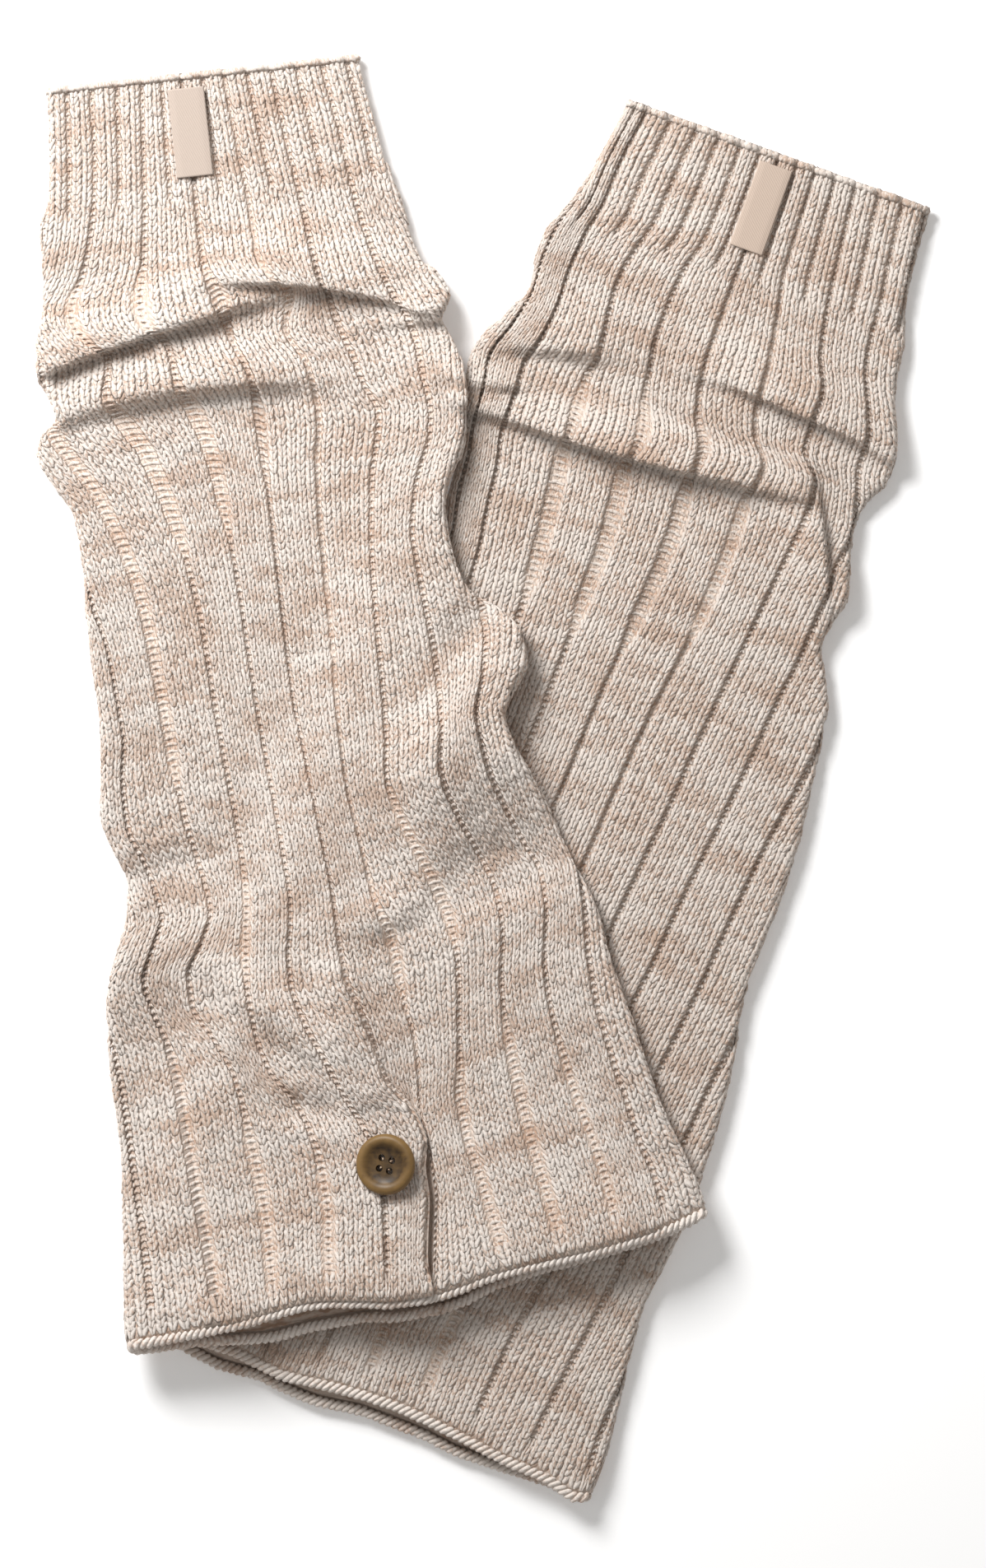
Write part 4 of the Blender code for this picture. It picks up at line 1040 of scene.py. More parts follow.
def covered(leg, points):
    """Whether these points lie well under the other leg warmer."""
    if leg is LEFT:
        return np.zeros(len(points), bool)
    across, along = LEFT.local(points[:, 0], points[:, 1])
    inside = across > LEFT.at("left", along) + COVERED_BY
    inside &= across < LEFT.at("right", along) - COVERED_BY
    return inside & (along < LEFT.hem_at("front", across) - COVERED_BY) & (along > COVERED_FROM)


def body_places(leg):
    """(rib, course, width as a share of a rib, kind) of every stitch of the wide ribs."""
    courses = CUFF_COURSES + 0.5 + np.arange(int(leg.body_courses))
    found = []
    for rib in range(FIRST_RIB, LAST_RIB + 1):
        middle = np.full(len(courses), rib, float)
        station = guides[leg.name].at(middle, courses)[0]
        before = channel_half(leg, station, middle)
        after = channel_half(leg, station, middle + 1.0)
        wale = (1.0 - before - after) / KNITS_PER_RIB
        for k in range(KNITS_PER_RIB):
            place = rib + before + (k + 0.5) * wale
            found.append(np.stack([place, courses, wale, 0 * courses], axis=1))
        plain = station > leg.length - PLAIN_ABOVE_HEM
        found.append(np.stack([middle, courses, 2 * before, 1.0 - plain], axis=1))
    return np.concatenate(found)


def cuff_places():
    """The same for the narrow ribs of the cuff, two to each wide rib, with two columns each."""
    courses = 0.6 + np.arange(int(CUFF_COURSES))
    wale = (1.0 - 2 * NARROW_HALF) / 4
    found = []
    for narrow in range(-5, 24):
        first = narrow / 2 + NARROW_HALF / 2
        knits = [(first + 0.5 * wale, wale, 0), (first + 1.5 * wale, wale, 0)]
        for rib, wide, kind in [*knits, (narrow / 2, NARROW_HALF, 1)]:
            flat = 0 * courses
            found.append(np.stack([flat + rib, courses, flat + wide, flat + kind], axis=1))
    return np.concatenate(found)


def seen(leg, places):
    """Keeps the places where a stitch can be seen."""
    ribs = places[:, 0]
    station, way_up, rib_width, points = guides[leg.name].at(ribs, places[:, 1])
    keep = (way_up > LOWEST_WAY_UP) & ~covered(leg, points)
    keep &= (ribs > RIBS_DRAWN[0]) & (ribs < RIBS_DRAWN[1])
    keep &= (rib_width > LEAST_RIB_WIDTH) | (places[:, 3] > 0.5)
    keep &= station < leg.length - HEM_CLEAR
    if leg.has_opening:
        hidden = (ribs > FLAP_EDGE_RIB - 0.02) & (ribs < FLAP_EDGE_RIB + 0.98)
        keep &= ~(hidden & (station > PINCH_TOP + TUCK_SEEN))
    past = -side_room(leg, station, ribs)
    return places[keep & ((past < PAST_SIDE) | (way_up > 0.0) & (past < PAST_SIDE_IF_UP))]


def side_room(leg, station, ribs):
    """How far these places lie from the nearer side of the tube, below zero when past it."""
    inside = np.empty(len(ribs))
    for s in np.unique(station):
        mine = station == s
        layer = layer_length(leg, s, 0.0)
        half = leg.thickness(s) / 2
        left = float(leg.at("left", s))
        numbers = list(leg.rib_columns[1:])
        across = [leg.rib_at(n, s) for n in numbers]
        slope_low = (across[1] - across[0]) / (numbers[1] - numbers[0])
        slope_high = (across[-1] - across[-2]) / (numbers[-1] - numbers[-2])
        r = ribs[mine]
        place = np.interp(r, numbers, across)
        place = np.where(r < numbers[0], across[0] + (r - numbers[0]) * slope_low, place)
        place = np.where(r > numbers[-1], across[-1] + (r - numbers[-1]) * slope_high, place)
        arc = place - left + math.pi * half / 2 - half
        inside[mine] = np.minimum(arc, layer - arc)
    return inside


chart_places = {}
for leg in (LEFT, RIGHT):
    body = seen(leg, body_places(leg))
    cuff = seen(leg, cuff_places())
    chart_places[leg.name] = {"body": body, "cuff": cuff}
    print(leg.name, "stitches on the body", len(body), "and on the cuff", len(cuff))

# %% [markdown]
# ## The look of the yarn
# The yarn is a marl: cream with tan, dyed in stretches, so that courses show jagged streaks a few
# stitches high and some ribs wide. The colour is read from the knitting chart, not from the
# surface, so a streak follows its courses round every fold. Shade is painted into the colour: deep in
# the gaps the yarn is painted darker and warmer, and the shell under the stitches has a darker cut of
# the same material, painted shade for the gaps where it shows.

# %% Helpers for nodes
def add(tree, kind, values=(), **settings):
    """Adds a node, sets its inputs by name or number and its settings by name."""
    made = tree.nodes.new(kind)
    for name, value in settings.items():
        setattr(made, name, value)
    for key, value in dict(values).items():
        if isinstance(value, bpy.types.NodeSocket):
            tree.links.new(value, made.inputs[key])
        else:
            made.inputs[key].default_value = value
    return made


def maths(tree, operation, a, b=0.0, c=0.0):
    return add(tree, "ShaderNodeMath", {0: a, 1: b, 2: c}, operation=operation).outputs[0]


def vectors(tree, operation, a, b=(0.0, 0.0, 0.0), c=(0.0, 0.0, 0.0)):
    return add(tree, "ShaderNodeVectorMath", {0: a, 1: b, 2: c}, operation=operation).outputs[0]


def apart(tree, vector):
    """X, Y and Z of a vector."""
    return add(tree, "ShaderNodeSeparateXYZ", {0: vector}).outputs


def mapped(tree, value, low, high, to_low=0.0, to_high=1.0):
    """The value's place between low and high, told as one between to_low and to_high."""
    limits = {0: value, 1: low, 2: high, 3: to_low, 4: to_high}
    return add(tree, "ShaderNodeMapRange", limits).outputs[0]


def blend(tree, share, first, second, kind="MIX"):
    colours = {0: share, 6: first, 7: second}
    return add(tree, "ShaderNodeMix", colours, data_type="RGBA", blend_type=kind).outputs[2]


def speckle(tree, place, scale, detail, **more):
    values = {"Vector": place, "Scale": scale, "Detail": detail, **more}
    return add(tree, "ShaderNodeTexNoise", values).outputs


def tinted(colour, tint=(1.0, 1.0, 1.0)):
    return (*[c * t for c, t in zip(colour, tint)], 1)


def blank_material(name, **finish):
    """A material with one plain shader, whose uniform values are set by name."""
    made = bpy.data.materials.new(name)
    made.use_nodes = True
    made.node_tree.nodes.clear()
    tree = made.node_tree
    out = add(tree, "ShaderNodeOutputMaterial")
    shader = add(tree, "ShaderNodeBsdfPrincipled")
    for socket, value in finish.items():
        shader.inputs[socket.replace("_", " ")].default_value = value
    tree.links.new(shader.outputs[0], out.inputs["Surface"])
    return made, tree, shader


def dress(tree, shader, colour, height=None, strength=0.0, distance=0.0):
    """Gives the shader its colour and, where there is a height, its bump."""
    tree.links.new(colour, shader.inputs["Base Color"])
    if height is not None:
        values = {"Strength": strength, "Distance": distance, "Height": height}
        bump = add(tree, "ShaderNodeBump", values)
        tree.links.new(bump.outputs[0], shader.inputs["Normal"])


# %% The marl yarn
CREAM = (0.75, 0.682, 0.626)
TAN = (0.52, 0.372, 0.284)
# painted shade: yarn low in the gaps between stitches is painted this much darker and warmer
PAINTED_GAP_SHADE = (0.97, 0.885, 0.83)
# Each layer of the marl: how often it changes per rib and per course, its own place in the noise,
# its detail and roughness.
STREAK = (0.75, 0.27, 0.0, 2.0, 0.55)
BROAD = (0.22, 0.05, 7.0, 1.0, 0.5)
JAG = (9.0, 1.7, 3.0, 1.0, 0.5)
PLY = (46.0, 1.5, 5.0, 2.0, 0.6)
FIBRE = (60.0, 9.0, 11.0, 2.0, 0.6)
YARN_FINISH = {"Roughness": 0.92, "Specular_IOR_Level": 0.25}
NAP = {"Sheen_Weight": 0.7, "Sheen_Roughness": 0.6, "Sheen_Tint": (1.0, 0.90, 0.82, 1)}


def chart_place(tree):
    """Rib number and course number, from the piece's own UV map."""
    uv = add(tree, "ShaderNodeUVMap", uv_map="OFBake")
    parts = apart(tree, uv.outputs[0])
    rib = maths(tree, "MULTIPLY_ADD", parts[0], CHART_RIBS, CHART_START)
    last = CHART_COURSES - CHART_MARGIN
    return rib, maths(tree, "MULTIPLY_ADD", parts[1], -CHART_COURSES, last)


def marl_layer(tree, place, seed, layer):
    """One layer of noise on the chart."""
    per_rib, per_course, offset, detail, rough = layer
    rib = maths(tree, "MULTIPLY", place[0], per_rib)
    course = maths(tree, "MULTIPLY", place[1], per_course)
    where = add(tree, "ShaderNodeCombineXYZ", {0: rib, 1: course, 2: seed + offset})
    return speckle(tree, where.outputs[0], 1.0, detail, Roughness=rough)[0]


def drawn_stitch(tree, rib, course):
    """The height of stitches that are only drawn: six columns of leaning lobes to a rib."""
    column = maths(tree, "FRACT", maths(tree, "MULTIPLY_ADD", rib, 6.0, 0.5))
    aside = maths(tree, "ABSOLUTE", maths(tree, "SUBTRACT", column, 0.5))
    slanted = maths(tree, "MULTIPLY_ADD", aside, 1.5, course)
    lobe = maths(tree, "ABSOLUTE", maths(tree, "SINE", maths(tree, "MULTIPLY", slanted, math.pi)))
    across = maths(tree, "SINE", maths(tree, "MULTIPLY", aside, 2 * math.pi))
    return maths(tree, "MULTIPLY", lobe, maths(tree, "POWER", across, 0.5))


def knit_material(name, seed, tint, bare):
    """The marl yarn, with shade painted darker and warmer low in the gaps between its stitches.
    bare is for cloth whose stitches are only drawn, as under the real ones, and there shade is painted
    between the drawn lobes.
    """
    made, tree, shader = blank_material(name, **YARN_FINISH, **NAP)
    here = chart_place(tree)
    spot = here
    if not bare:
        own = add(tree, "ShaderNodeAttribute", attribute_name="stitch")
        parts = apart(tree, own.outputs["Vector"])
        spot = (parts[0], maths(tree, "MULTIPLY", parts[1], -1.0))
    streak, broad, jag = [marl_layer(tree, spot, seed, layer) for layer in (STREAK, BROAD, JAG)]
    ply = marl_layer(tree, here, seed, PLY)
    fibre = marl_layer(tree, here, seed, FIBRE)
    mixed = maths(tree, "MULTIPLY_ADD", streak, 1.35, maths(tree, "MULTIPLY", jag, 0.55))
    mixed = maths(tree, "MULTIPLY_ADD", ply, 2.0, mixed)
    mixed = maths(tree, "MULTIPLY_ADD", broad, 0.12, mixed)
    dye = mapped(tree, mixed, 1.92, 2.26)
    colour = blend(tree, dye, tinted(CREAM, tint), tinted(TAN, tint))
    if bare:
        stitch = drawn_stitch(tree, *here)
        height = maths(tree, "MULTIPLY_ADD", fibre, 0.15, stitch)
        # painted shade: the drawn stitches are darker where their lobes sink
        shade = mapped(tree, stitch, 0.0, 0.6, 0.80, 1.0)
    else:
        rise = add(tree, "ShaderNodeAttribute", attribute_name="high")
        height = maths(tree, "MULTIPLY_ADD", ply, 1.2, fibre)
        # painted shade: each real stitch is darker and warmer where it dips into the gaps, by its height
        out_of_gap = mapped(tree, rise.outputs["Fac"], -0.35, 0.25)
        shade = blend(tree, out_of_gap, tinted(PAINTED_GAP_SHADE), (1, 1, 1, 1))
    colour = blend(tree, 1.0, colour, shade, "MULTIPLY")
    dress(tree, shader, colour, height, 0.7, 0.0005)
    return made


# The right leg's tint is darker all over: painted shade, as that leg lies under the left one and is
# shaded darker.
TINTS = {"left": (1.0, 1.0, 1.0), "right": (0.93, 0.92, 0.91)}
# painted shade: the shell shows only in the gaps and channels between stitches, so its yarn is tinted
# darker and warmer
PAINTED_GROUND_SHADE = {"left": (0.92, 0.84, 0.78), "right": (0.86, 0.78, 0.72)}
yarns = {}
bare_yarns = {}
for name, seed in (("left", 4.0), ("right", 21.0)):
    yarns[name] = knit_material("marl yarn " + name, seed, TINTS[name], False)
    bare_yarns[name] = knit_material("marl ground " + name, seed, PAINTED_GROUND_SHADE[name], True)
print("materials:", [m.name for m in bpy.data.materials])

# %% [markdown]
# ## Wrapping the stitches round the cloth
# Each stitch is drawn once. Geometry Nodes put a copy at every point of the chart, then look up
# where that place of the chart is on the leg, and move the copy there along the way out. A curve
# along each column would do too, but the chart keeps courses level from rib to rib, as knitting does.

# %% The guide as a mesh that Geometry Nodes can read
def guide_object(guide):
    """The guide's points as a grid, with its chart as a UV map and its way out as an attribute."""
    rows, columns = guide.points.shape[:2]
    number = np.arange(rows * columns).reshape(rows, columns)
    corners = (number[:-1, :-1], number[1:, :-1], number[1:, 1:], number[:-1, 1:])
    faces = np.stack(corners, axis=-1).reshape(-1, 4).tolist()
    data = bpy.data.meshes.new(guide.leg.name + " guide")
    data.from_pydata((guide.points.reshape(-1, 3) * MM).tolist(), [], faces)
    ribs = np.broadcast_to(guide.ribs, guide.courses.shape)
    u, v = chart_uv(ribs, guide.courses)
    flat = np.stack([u, v], axis=-1).reshape(-1, 2)
    order = np.empty(len(data.loops), np.int32)
    data.loops.foreach_get("vertex_index", order)
    chart = data.uv_layers.new(name="chart").data
    chart.foreach_set("uv", flat[order].astype(np.float32).ravel())
    way = data.attributes.new("way out", "FLOAT_VECTOR", "POINT")
    way.data.foreach_set("vector", guide.out.reshape(-1, 3).astype(np.float32).ravel())
    return new_object(guide.leg.name + " guide", data)


def new_tree(name, inputs):
    """A Geometry Nodes tree with a geometry in and out and these named inputs."""
    tree = bpy.data.node_groups.new(name, "GeometryNodeTree")
    tree.interface.new_socket("Geometry", in_out="INPUT", socket_type="NodeSocketGeometry")
    for label, kind in inputs:
        tree.interface.new_socket(label, in_out="INPUT", socket_type=kind)
    tree.interface.new_socket("Geometry", in_out="OUTPUT", socket_type="NodeSocketGeometry")
    return tree, add(tree, "NodeGroupInput"), add(tree, "NodeGroupOutput")


def run_tree(tree, name, data, values):
    """Runs the tree on this mesh or curve and returns its result as a plain mesh object."""
    carrier = new_object(name + " carrier", data)
    modifier = carrier.modifiers.new(tree.name, "NODES")
    modifier.node_group = tree
    for socket in tree.interface.items_tree:
        if socket.item_type == "SOCKET" and socket.in_out == "INPUT" and socket.name in values:
            modifier[socket.identifier] = values[socket.name]
    bpy.context.view_layer.update()
    graph = bpy.context.evaluated_depsgraph_get()
    result = bpy.data.meshes.new_from_object(
        carrier.evaluated_get(graph), preserve_all_data_layers=True, depsgraph=graph
    )
    bpy.data.objects.remove(carrier)
    result.name = name
    return new_object(name, result)


def stored(tree, geometry, name, value, kind, domain):
    """The geometry with a named attribute on it."""
    values = {"Geometry": geometry, "Name": name, "Value": value}
    made = add(tree, "GeometryNodeStoreNamedAttribute", values, data_type=kind, domain=domain)
    return made.outputs[0]


def named(tree, name, kind):
    return add(tree, "GeometryNodeInputNamedAttribute", {"Name": name}, data_type=kind).outputs[0]


def drawn_lots(tree, low, high, seed):
    """A random vector for every copy."""
    values = {0: low, 1: high, "Seed": seed}
    return add(tree, "FunctionNodeRandomValue", values, data_type="FLOAT_VECTOR").outputs[0]


def copies(tree, points, shape, rotation, scale):
    info = add(tree, "GeometryNodeObjectInfo", {"Object": shape})
    values = {"Points": points, "Instance": info.outputs["Geometry"]}
    values.update({"Rotation": rotation, "Scale": scale})
    return add(tree, "GeometryNodeInstanceOnPoints", values).outputs[0]


def finish_tree(tree, out, geometry, yarn):
    """Ends a tree with smooth shading and the yarn's material."""
    smooth = add(tree, "GeometryNodeSetShadeSmooth", {0: geometry})
    dyed = add(tree, "GeometryNodeSetMaterial", {"Geometry": smooth.outputs[0], "Material": yarn})
    tree.links.new(dyed.outputs[0], out.inputs[0])


# %% The tree that wraps the stitches
SHAPES = ("Knit stitch", "Purl bar", "Edge loop")
UNEVEN = 0.85  # how far the yarn strays from its even shape, in millimetres
UNEVEN_SCALE = 650.0
LEAST_SIZE = (0.86, 0.90, 0.75)
MOST_SIZE = (1.06, 1.10, 1.25)
LEAN = 0.014
LOWEST = 0.6  # no yarn goes closer to the floor than this
INPUTS = [("Guide", "NodeSocketObject"), *[(name, "NodeSocketObject") for name in SHAPES]]
INPUTS.append(("Yarn", "NodeSocketMaterial"))


def instances(tree, points, number, shape):
    """Copies of one shape on the points whose kind is this number, each a little different."""
    pair = {2: named(tree, "kind", "INT"), 3: number}
    same = add(tree, "FunctionNodeCompare", pair, data_type="INT", operation="EQUAL")
    chosen = {0: points, 1: same.outputs[0]}
    chosen = add(tree, "GeometryNodeSeparateGeometry", chosen, domain="POINT").outputs[0]
    vary = drawn_lots(tree, LEAST_SIZE, MOST_SIZE, 11 + number)
    size = vectors(tree, "MULTIPLY", named(tree, "size", "FLOAT_VECTOR"), vary)
    turn = drawn_lots(tree, (0.0, 0.0, -LEAN), (0.0, 0.0, LEAN), 31 + number)
    placed = copies(tree, chosen, shape, turn, size)
    centre = add(tree, "GeometryNodeInputPosition").outputs[0]
    return stored(tree, placed, "stitch", centre, "FLOAT_VECTOR", "INSTANCE")


def wrap_tree():
    """Draws the stitches on the flat chart, then moves each point of them onto the leg."""
    tree, given, out = new_tree("wrap stitches", INPUTS)
    joined = add(tree, "GeometryNodeJoinGeometry")
    for number, name in enumerate(SHAPES):
        made = instances(tree, given.outputs["Geometry"], number, given.outputs[name])
        tree.links.new(made, joined.inputs[0])
    real = add(tree, "GeometryNodeRealizeInstances", {0: joined.outputs[0]}).outputs[0]
    place = add(tree, "GeometryNodeInputPosition").outputs[0]
    scale = (1 / CHART_RIBS, 1 / CHART_COURSES, 0.0)
    start = (-CHART_START / CHART_RIBS, 1 - CHART_MARGIN / CHART_COURSES, 0.0)
    chart = vectors(tree, "MULTIPLY_ADD", place, scale, start)
    real = stored(tree, real, "OFBake", chart, "FLOAT2", "CORNER")
    rise = apart(tree, place)[2]
    real = stored(tree, real, "high", maths(tree, "MULTIPLY", rise, 1 / MM), "FLOAT", "POINT")
    guide = add(tree, "GeometryNodeObjectInfo", {"Object": given.outputs["Guide"]})
    look_up = {"Mesh": guide.outputs["Geometry"], "Sample UV": chart}
    look_up["UV Map"] = named(tree, "chart", "FLOAT_VECTOR")
    where = add(tree, "GeometryNodeInputPosition").outputs[0]
    sampled = []
    for value in (where, named(tree, "way out", "FLOAT_VECTOR")):
        values = {**look_up, "Value": value}
        sampled.append(add(tree, "GeometryNodeSampleUVSurface", values, data_type="FLOAT_VECTOR"))
    lift = {0: sampled[1].outputs[0], "Scale": rise}
    lifted = add(tree, "ShaderNodeVectorMath", lift, operation="SCALE").outputs[0]
    parts = apart(tree, vectors(tree, "ADD", sampled[0].outputs[0], lifted))
    rested = maths(tree, "MAXIMUM", parts[2], LOWEST * MM)
    final = add(tree, "ShaderNodeCombineXYZ", {0: parts[0], 1: parts[1], 2: rested}).outputs[0]
    rough = speckle(tree, final, UNEVEN_SCALE, 1.0)["Color"]
    centred = vectors(tree, "SUBTRACT", rough, (0.5, 0.5, 0.5))
    final = vectors(tree, "MULTIPLY_ADD", centred, (UNEVEN * MM,) * 3, final)
    values = {"Geometry": real, "Selection": sampled[0].outputs[1], "Position": final}
    moved = add(tree, "GeometryNodeSetPosition", values)
    finish_tree(tree, out, moved.outputs[0], given.outputs["Yarn"])
    return tree


# %% The stitches, wrapped
# no piece may be too heavy, so the body has several
PIECES_OF = {"left": 3, "right": 2}  # the body of each leg is cut into this many pieces
RIM_STEP = 2.3 / CHART_RIB
RIM_COURSE = 0.05


def chart_points(name, places):
    """Points on the chart from rows of (rib, course, width as a share of a rib, kind)."""
    data = bpy.data.meshes.new(name + " points")
    count = len(places)
    spots = np.stack([places[:, 0], -places[:, 1], np.zeros(count)], axis=1)
    data.from_pydata(spots.tolist(), [], [])
    kind = data.attributes.new("kind", "INT", "POINT")
    kind.data.foreach_set("value", places[:, 3].astype(np.int32))
    is_rim = places[:, 3] > 1.5
    wide = np.where(is_rim, 1.0 / CHART_RIB, places[:, 2] / STITCH_WIDE)
    size = np.stack([wide, np.full(count, 1 / COURSE), np.full(count, MM)], axis=1)
    made = data.attributes.new("size", "FLOAT_VECTOR", "POINT")
    made.data.foreach_set("vector", size.astype(np.float32).ravel())
    return data


def grouped(leg):
    """The places of one leg's stitches, piece by piece: the cuff with its rim, then the body."""
    edge = np.arange(RIBS_DRAWN[0] + 0.1, RIBS_DRAWN[1], RIM_STEP)
    rim = np.stack([edge, 0 * edge + RIM_COURSE, 0 * edge, 0 * edge + 2], axis=1)
    groups = {"cuff": np.concatenate([chart_places[leg.name]["cuff"], seen(leg, rim)])}
    body = chart_places[leg.name]["body"]
    cuts = np.quantile(body[:, 0], np.linspace(0, 1, PIECES_OF[leg.name] + 1))
    cuts[0] -= 1
    cuts[-1] += 1
    for number, (low, high) in enumerate(zip(cuts, cuts[1:])):
        groups[f"body_{number + 1}"] = body[(body[:, 0] >= low) & (body[:, 0] < high)]
    return groups


WRAP = wrap_tree()
stitches = {"left": [], "right": []}
guide_objects = {}
for leg in (LEFT, RIGHT):
    name = leg.name
    guide_objects[name] = guide_object(guides[name])
    values = {"Guide": guide_objects[name], "Yarn": yarns[name]}
    values.update(zip(SHAPES, (knit_stitch, purl_bar, edge_loop)))
    for group, places in grouped(leg).items():
        points = chart_points(name + group, places)
        piece = run_tree(WRAP, f"{name}_{group}_stitches", points, values)
        stitches[name].append(piece)
        print(piece.name, len(places), "stitches,", triangles(piece), "triangles")

# %% [markdown]
# ## The rolled hem
# The last course is bound off tightly and rolls into a cord, wrapped on the slant by its own
# stitches. It could be a twisted tube, but the wraps of the real one stand apart from each other.
# So a plain core follows the end of the tube, and a tilted ring of yarn is repeated along it.

# %% The rolled hem of each leg
HEM_POINTS = 260
HEM_CROWD = 0.75  # brings the points closer together at the two side folds
WRAP_STEP = 2.2
WRAP_TURNS = 12
WRAP_SIDES = 5
WRAP_TILT = 1.2
WRAP_HALF_WIDE = 1.0
WRAP_HALF_HIGH = 0.62
HEM_CORE = 1.35
HEM_RAISE = 1.7


def plain_lay(leg, station, across, height, stepped):
    """Points on the cloth by their place across, with or without the front panel's step."""
    points = lay(leg, station, across, height, np.full(len(across), NO_RIB))
    if stepped and leg.has_opening and station > PINCH_TOP:
        edge = rib_line(leg, station, FLAP_EDGE_RIB - 1.0)
        last = rib_line(leg, station, FLAP_EDGE_RIB)
        slope = ease((across - edge + STEP_REACH) / STEP_REACH) * ease((last + 1.5 - across) / 3.0)
        topness = np.clip(height / leg.thickness(station), 0.0, 1.0)
        points[:, 2] += STEP_HEIGHT * flap_grown(station) * slope * topness
    return points


def hem_line(leg):
    """The middle line of the rolled hem, all round the open end."""
    station = leg.length - HEM_ROLL_RADIUS
    length = 2 * layer_length(leg, station, HEM_ROLL_RADIUS)
    half_turn = np.linspace(0.0, 0.5, HEM_POINTS // 2 + 1)[:-1]
    eased = half_turn - HEM_CROWD * np.sin(4 * math.pi * half_turn) / (4 * math.pi)
    shares = np.concatenate([eased, eased + 0.5])
    across, height = section(leg, station, shares * length, HEM_ROLL_RADIUS)[:2]
    line = plain_lay(leg, station, across, height, True)
    line[:, 2] += HEM_RAISE * np.clip(height / leg.thickness(station), 0.0, 1.0)
    return line


def ring_template():
    """One tilted ring of yarn round the core, which lies along X."""
    mesh = bmesh.new()
    rings = []
    for k in range(WRAP_TURNS):
        turn = 2 * math.pi * k / WRAP_TURNS
        out = Vector((0.0, math.cos(turn), math.sin(turn)))
        middle = out * HEM_CORE + Vector((WRAP_TILT * math.cos(turn), 0.0, 0.0))
        ring = []
        for j in range(WRAP_SIDES):
            angle = 2 * math.pi * j / WRAP_SIDES
            aside = Vector((WRAP_HALF_WIDE * math.sin(angle), 0.0, 0.0))
            ring.append(mesh.verts.new((middle + out * WRAP_HALF_HIGH * math.cos(angle) + aside) * MM))
        rings.append(ring)
    for ring, following in zip(rings, rings[1:] + rings[:1]):
        for j in range(WRAP_SIDES):
            i = (j + 1) % WRAP_SIDES
            mesh.faces.new((ring[j], following[j], following[i], ring[i]))
    return finished(mesh, "hem wrap", shown=False)


def roll_tree():
    """A plain core along the line, and a wrap of yarn at every step of it."""
    kinds = ("Object", "Float", "Float", "Material")
    labels = ("Wrap", "Step", "Core", "Yarn")
    inputs = [(label, "NodeSocket" + kind) for label, kind in zip(labels, kinds)]
    tree, given, out = new_tree("roll of wraps", inputs)
    line = given.outputs["Geometry"]
    spaced = {"Curve": line, "Length": given.outputs["Step"]}
    even = add(tree, "GeometryNodeResampleCurve", spaced, mode="LENGTH").outputs[0]
    tangent = add(tree, "GeometryNodeInputTangent")
    along = {"Vector": tangent.outputs[0]}
    level = add(tree, "FunctionNodeAlignRotationToVector", along, axis="X").outputs[0]
    vary = drawn_lots(tree, (0.9, 0.93, 0.93), (1.1, 1.07, 1.07), 5)
    placed = copies(tree, even, given.outputs["Wrap"], level, vary)
    round_core = {"Resolution": 8, "Radius": given.outputs["Core"]}
    circle = add(tree, "GeometryNodeCurvePrimitiveCircle", round_core, mode="RADIUS").outputs[0]
    core = add(tree, "GeometryNodeCurveToMesh", {"Curve": line, "Profile Curve": circle}).outputs[0]
    joined = add(tree, "GeometryNodeJoinGeometry")
    tree.links.new(placed, joined.inputs[0])
    tree.links.new(core, joined.inputs[0])
    real = add(tree, "GeometryNodeRealizeInstances", {0: joined.outputs[0]})
    finish_tree(tree, out, real.outputs[0], given.outputs["Yarn"])
    return tree


def plain_yarn(name, tint):
    """The same marl on pieces with no chart: the streaks are read from the place in space."""
    made, tree, shader = blank_material(name, **YARN_FINISH)
    where = add(tree, "ShaderNodeTexCoord").outputs["Object"]
    streak = speckle(tree, where, 55.0, 2.0)[0]
    fine = speckle(tree, where, 900.0, 3.0)[0]
    dye = mapped(tree, maths(tree, "MULTIPLY_ADD", fine, 0.9, streak), 0.90, 1.18, 0.0, 0.75)
    colour = blend(tree, dye, tinted(CREAM, tint), tinted(TAN, tint))
    dress(tree, shader, colour, fine, 0.9, 0.0006)
    return made


def closed_line(name, points):
    """A closed curve through points in millimetres."""
    data = bpy.data.curves.new(name, "CURVE")
    data.dimensions = "3D"
    spline = data.splines.new("POLY")
    spline.points.add(len(points) - 1)
    corners = np.concatenate([points * MM, np.ones((len(points), 1))], axis=1)
    spline.points.foreach_set("co", corners.ravel())
    spline.use_cyclic_u = True
    return data


edge_yarns = {name: plain_yarn(f"edge yarn {name}", TINTS[name]) for name in ("left", "right")}
hem_wrap = ring_template()
ROLL = roll_tree()
hems = {}
for leg in (LEFT, RIGHT):
    line = closed_line(leg.name + " hem line", hem_line(leg))
    values = {"Wrap": hem_wrap, "Step": WRAP_STEP * MM, "Core": HEM_CORE * MM}
    values["Yarn"] = edge_yarns[leg.name]
    hems[leg.name] = run_tree(ROLL, leg.name + "_rolled_hem", line, values)
    print(leg.name, "hem triangles", triangles(hems[leg.name]))

# %% [markdown]
# ## The label tapes
# A narrow woven tape is sewn on below the cuff's edge of each leg. It is a thin ribbon with a fine
# slanted weave, and its place for text is left bare. A slab that follows the knit shows its edges.

# %% The label tapes
LABEL_COLUMNS = ("across", "along", "wide", "long", "turn")
LABELS = {"left": (-12.5, 3.8, 12.0, 29.2, 3.9), "right": (-5.0, 3.6, 11.3, 29.3, 2.9)}
TAPE_COLOURS = {"left": (0.45, 0.368, 0.312), "right": (0.49, 0.385, 0.313)}
LABEL_RISE = 1.35
LABEL_THICK = 0.75
LABEL_CELLS = (24, 56)
LABEL_EDGE = (4, 0.25)  # over how many cells an edge sinks, and by how much
TWILL_STEP = 0.8
TWILL_SLANT = 0.55


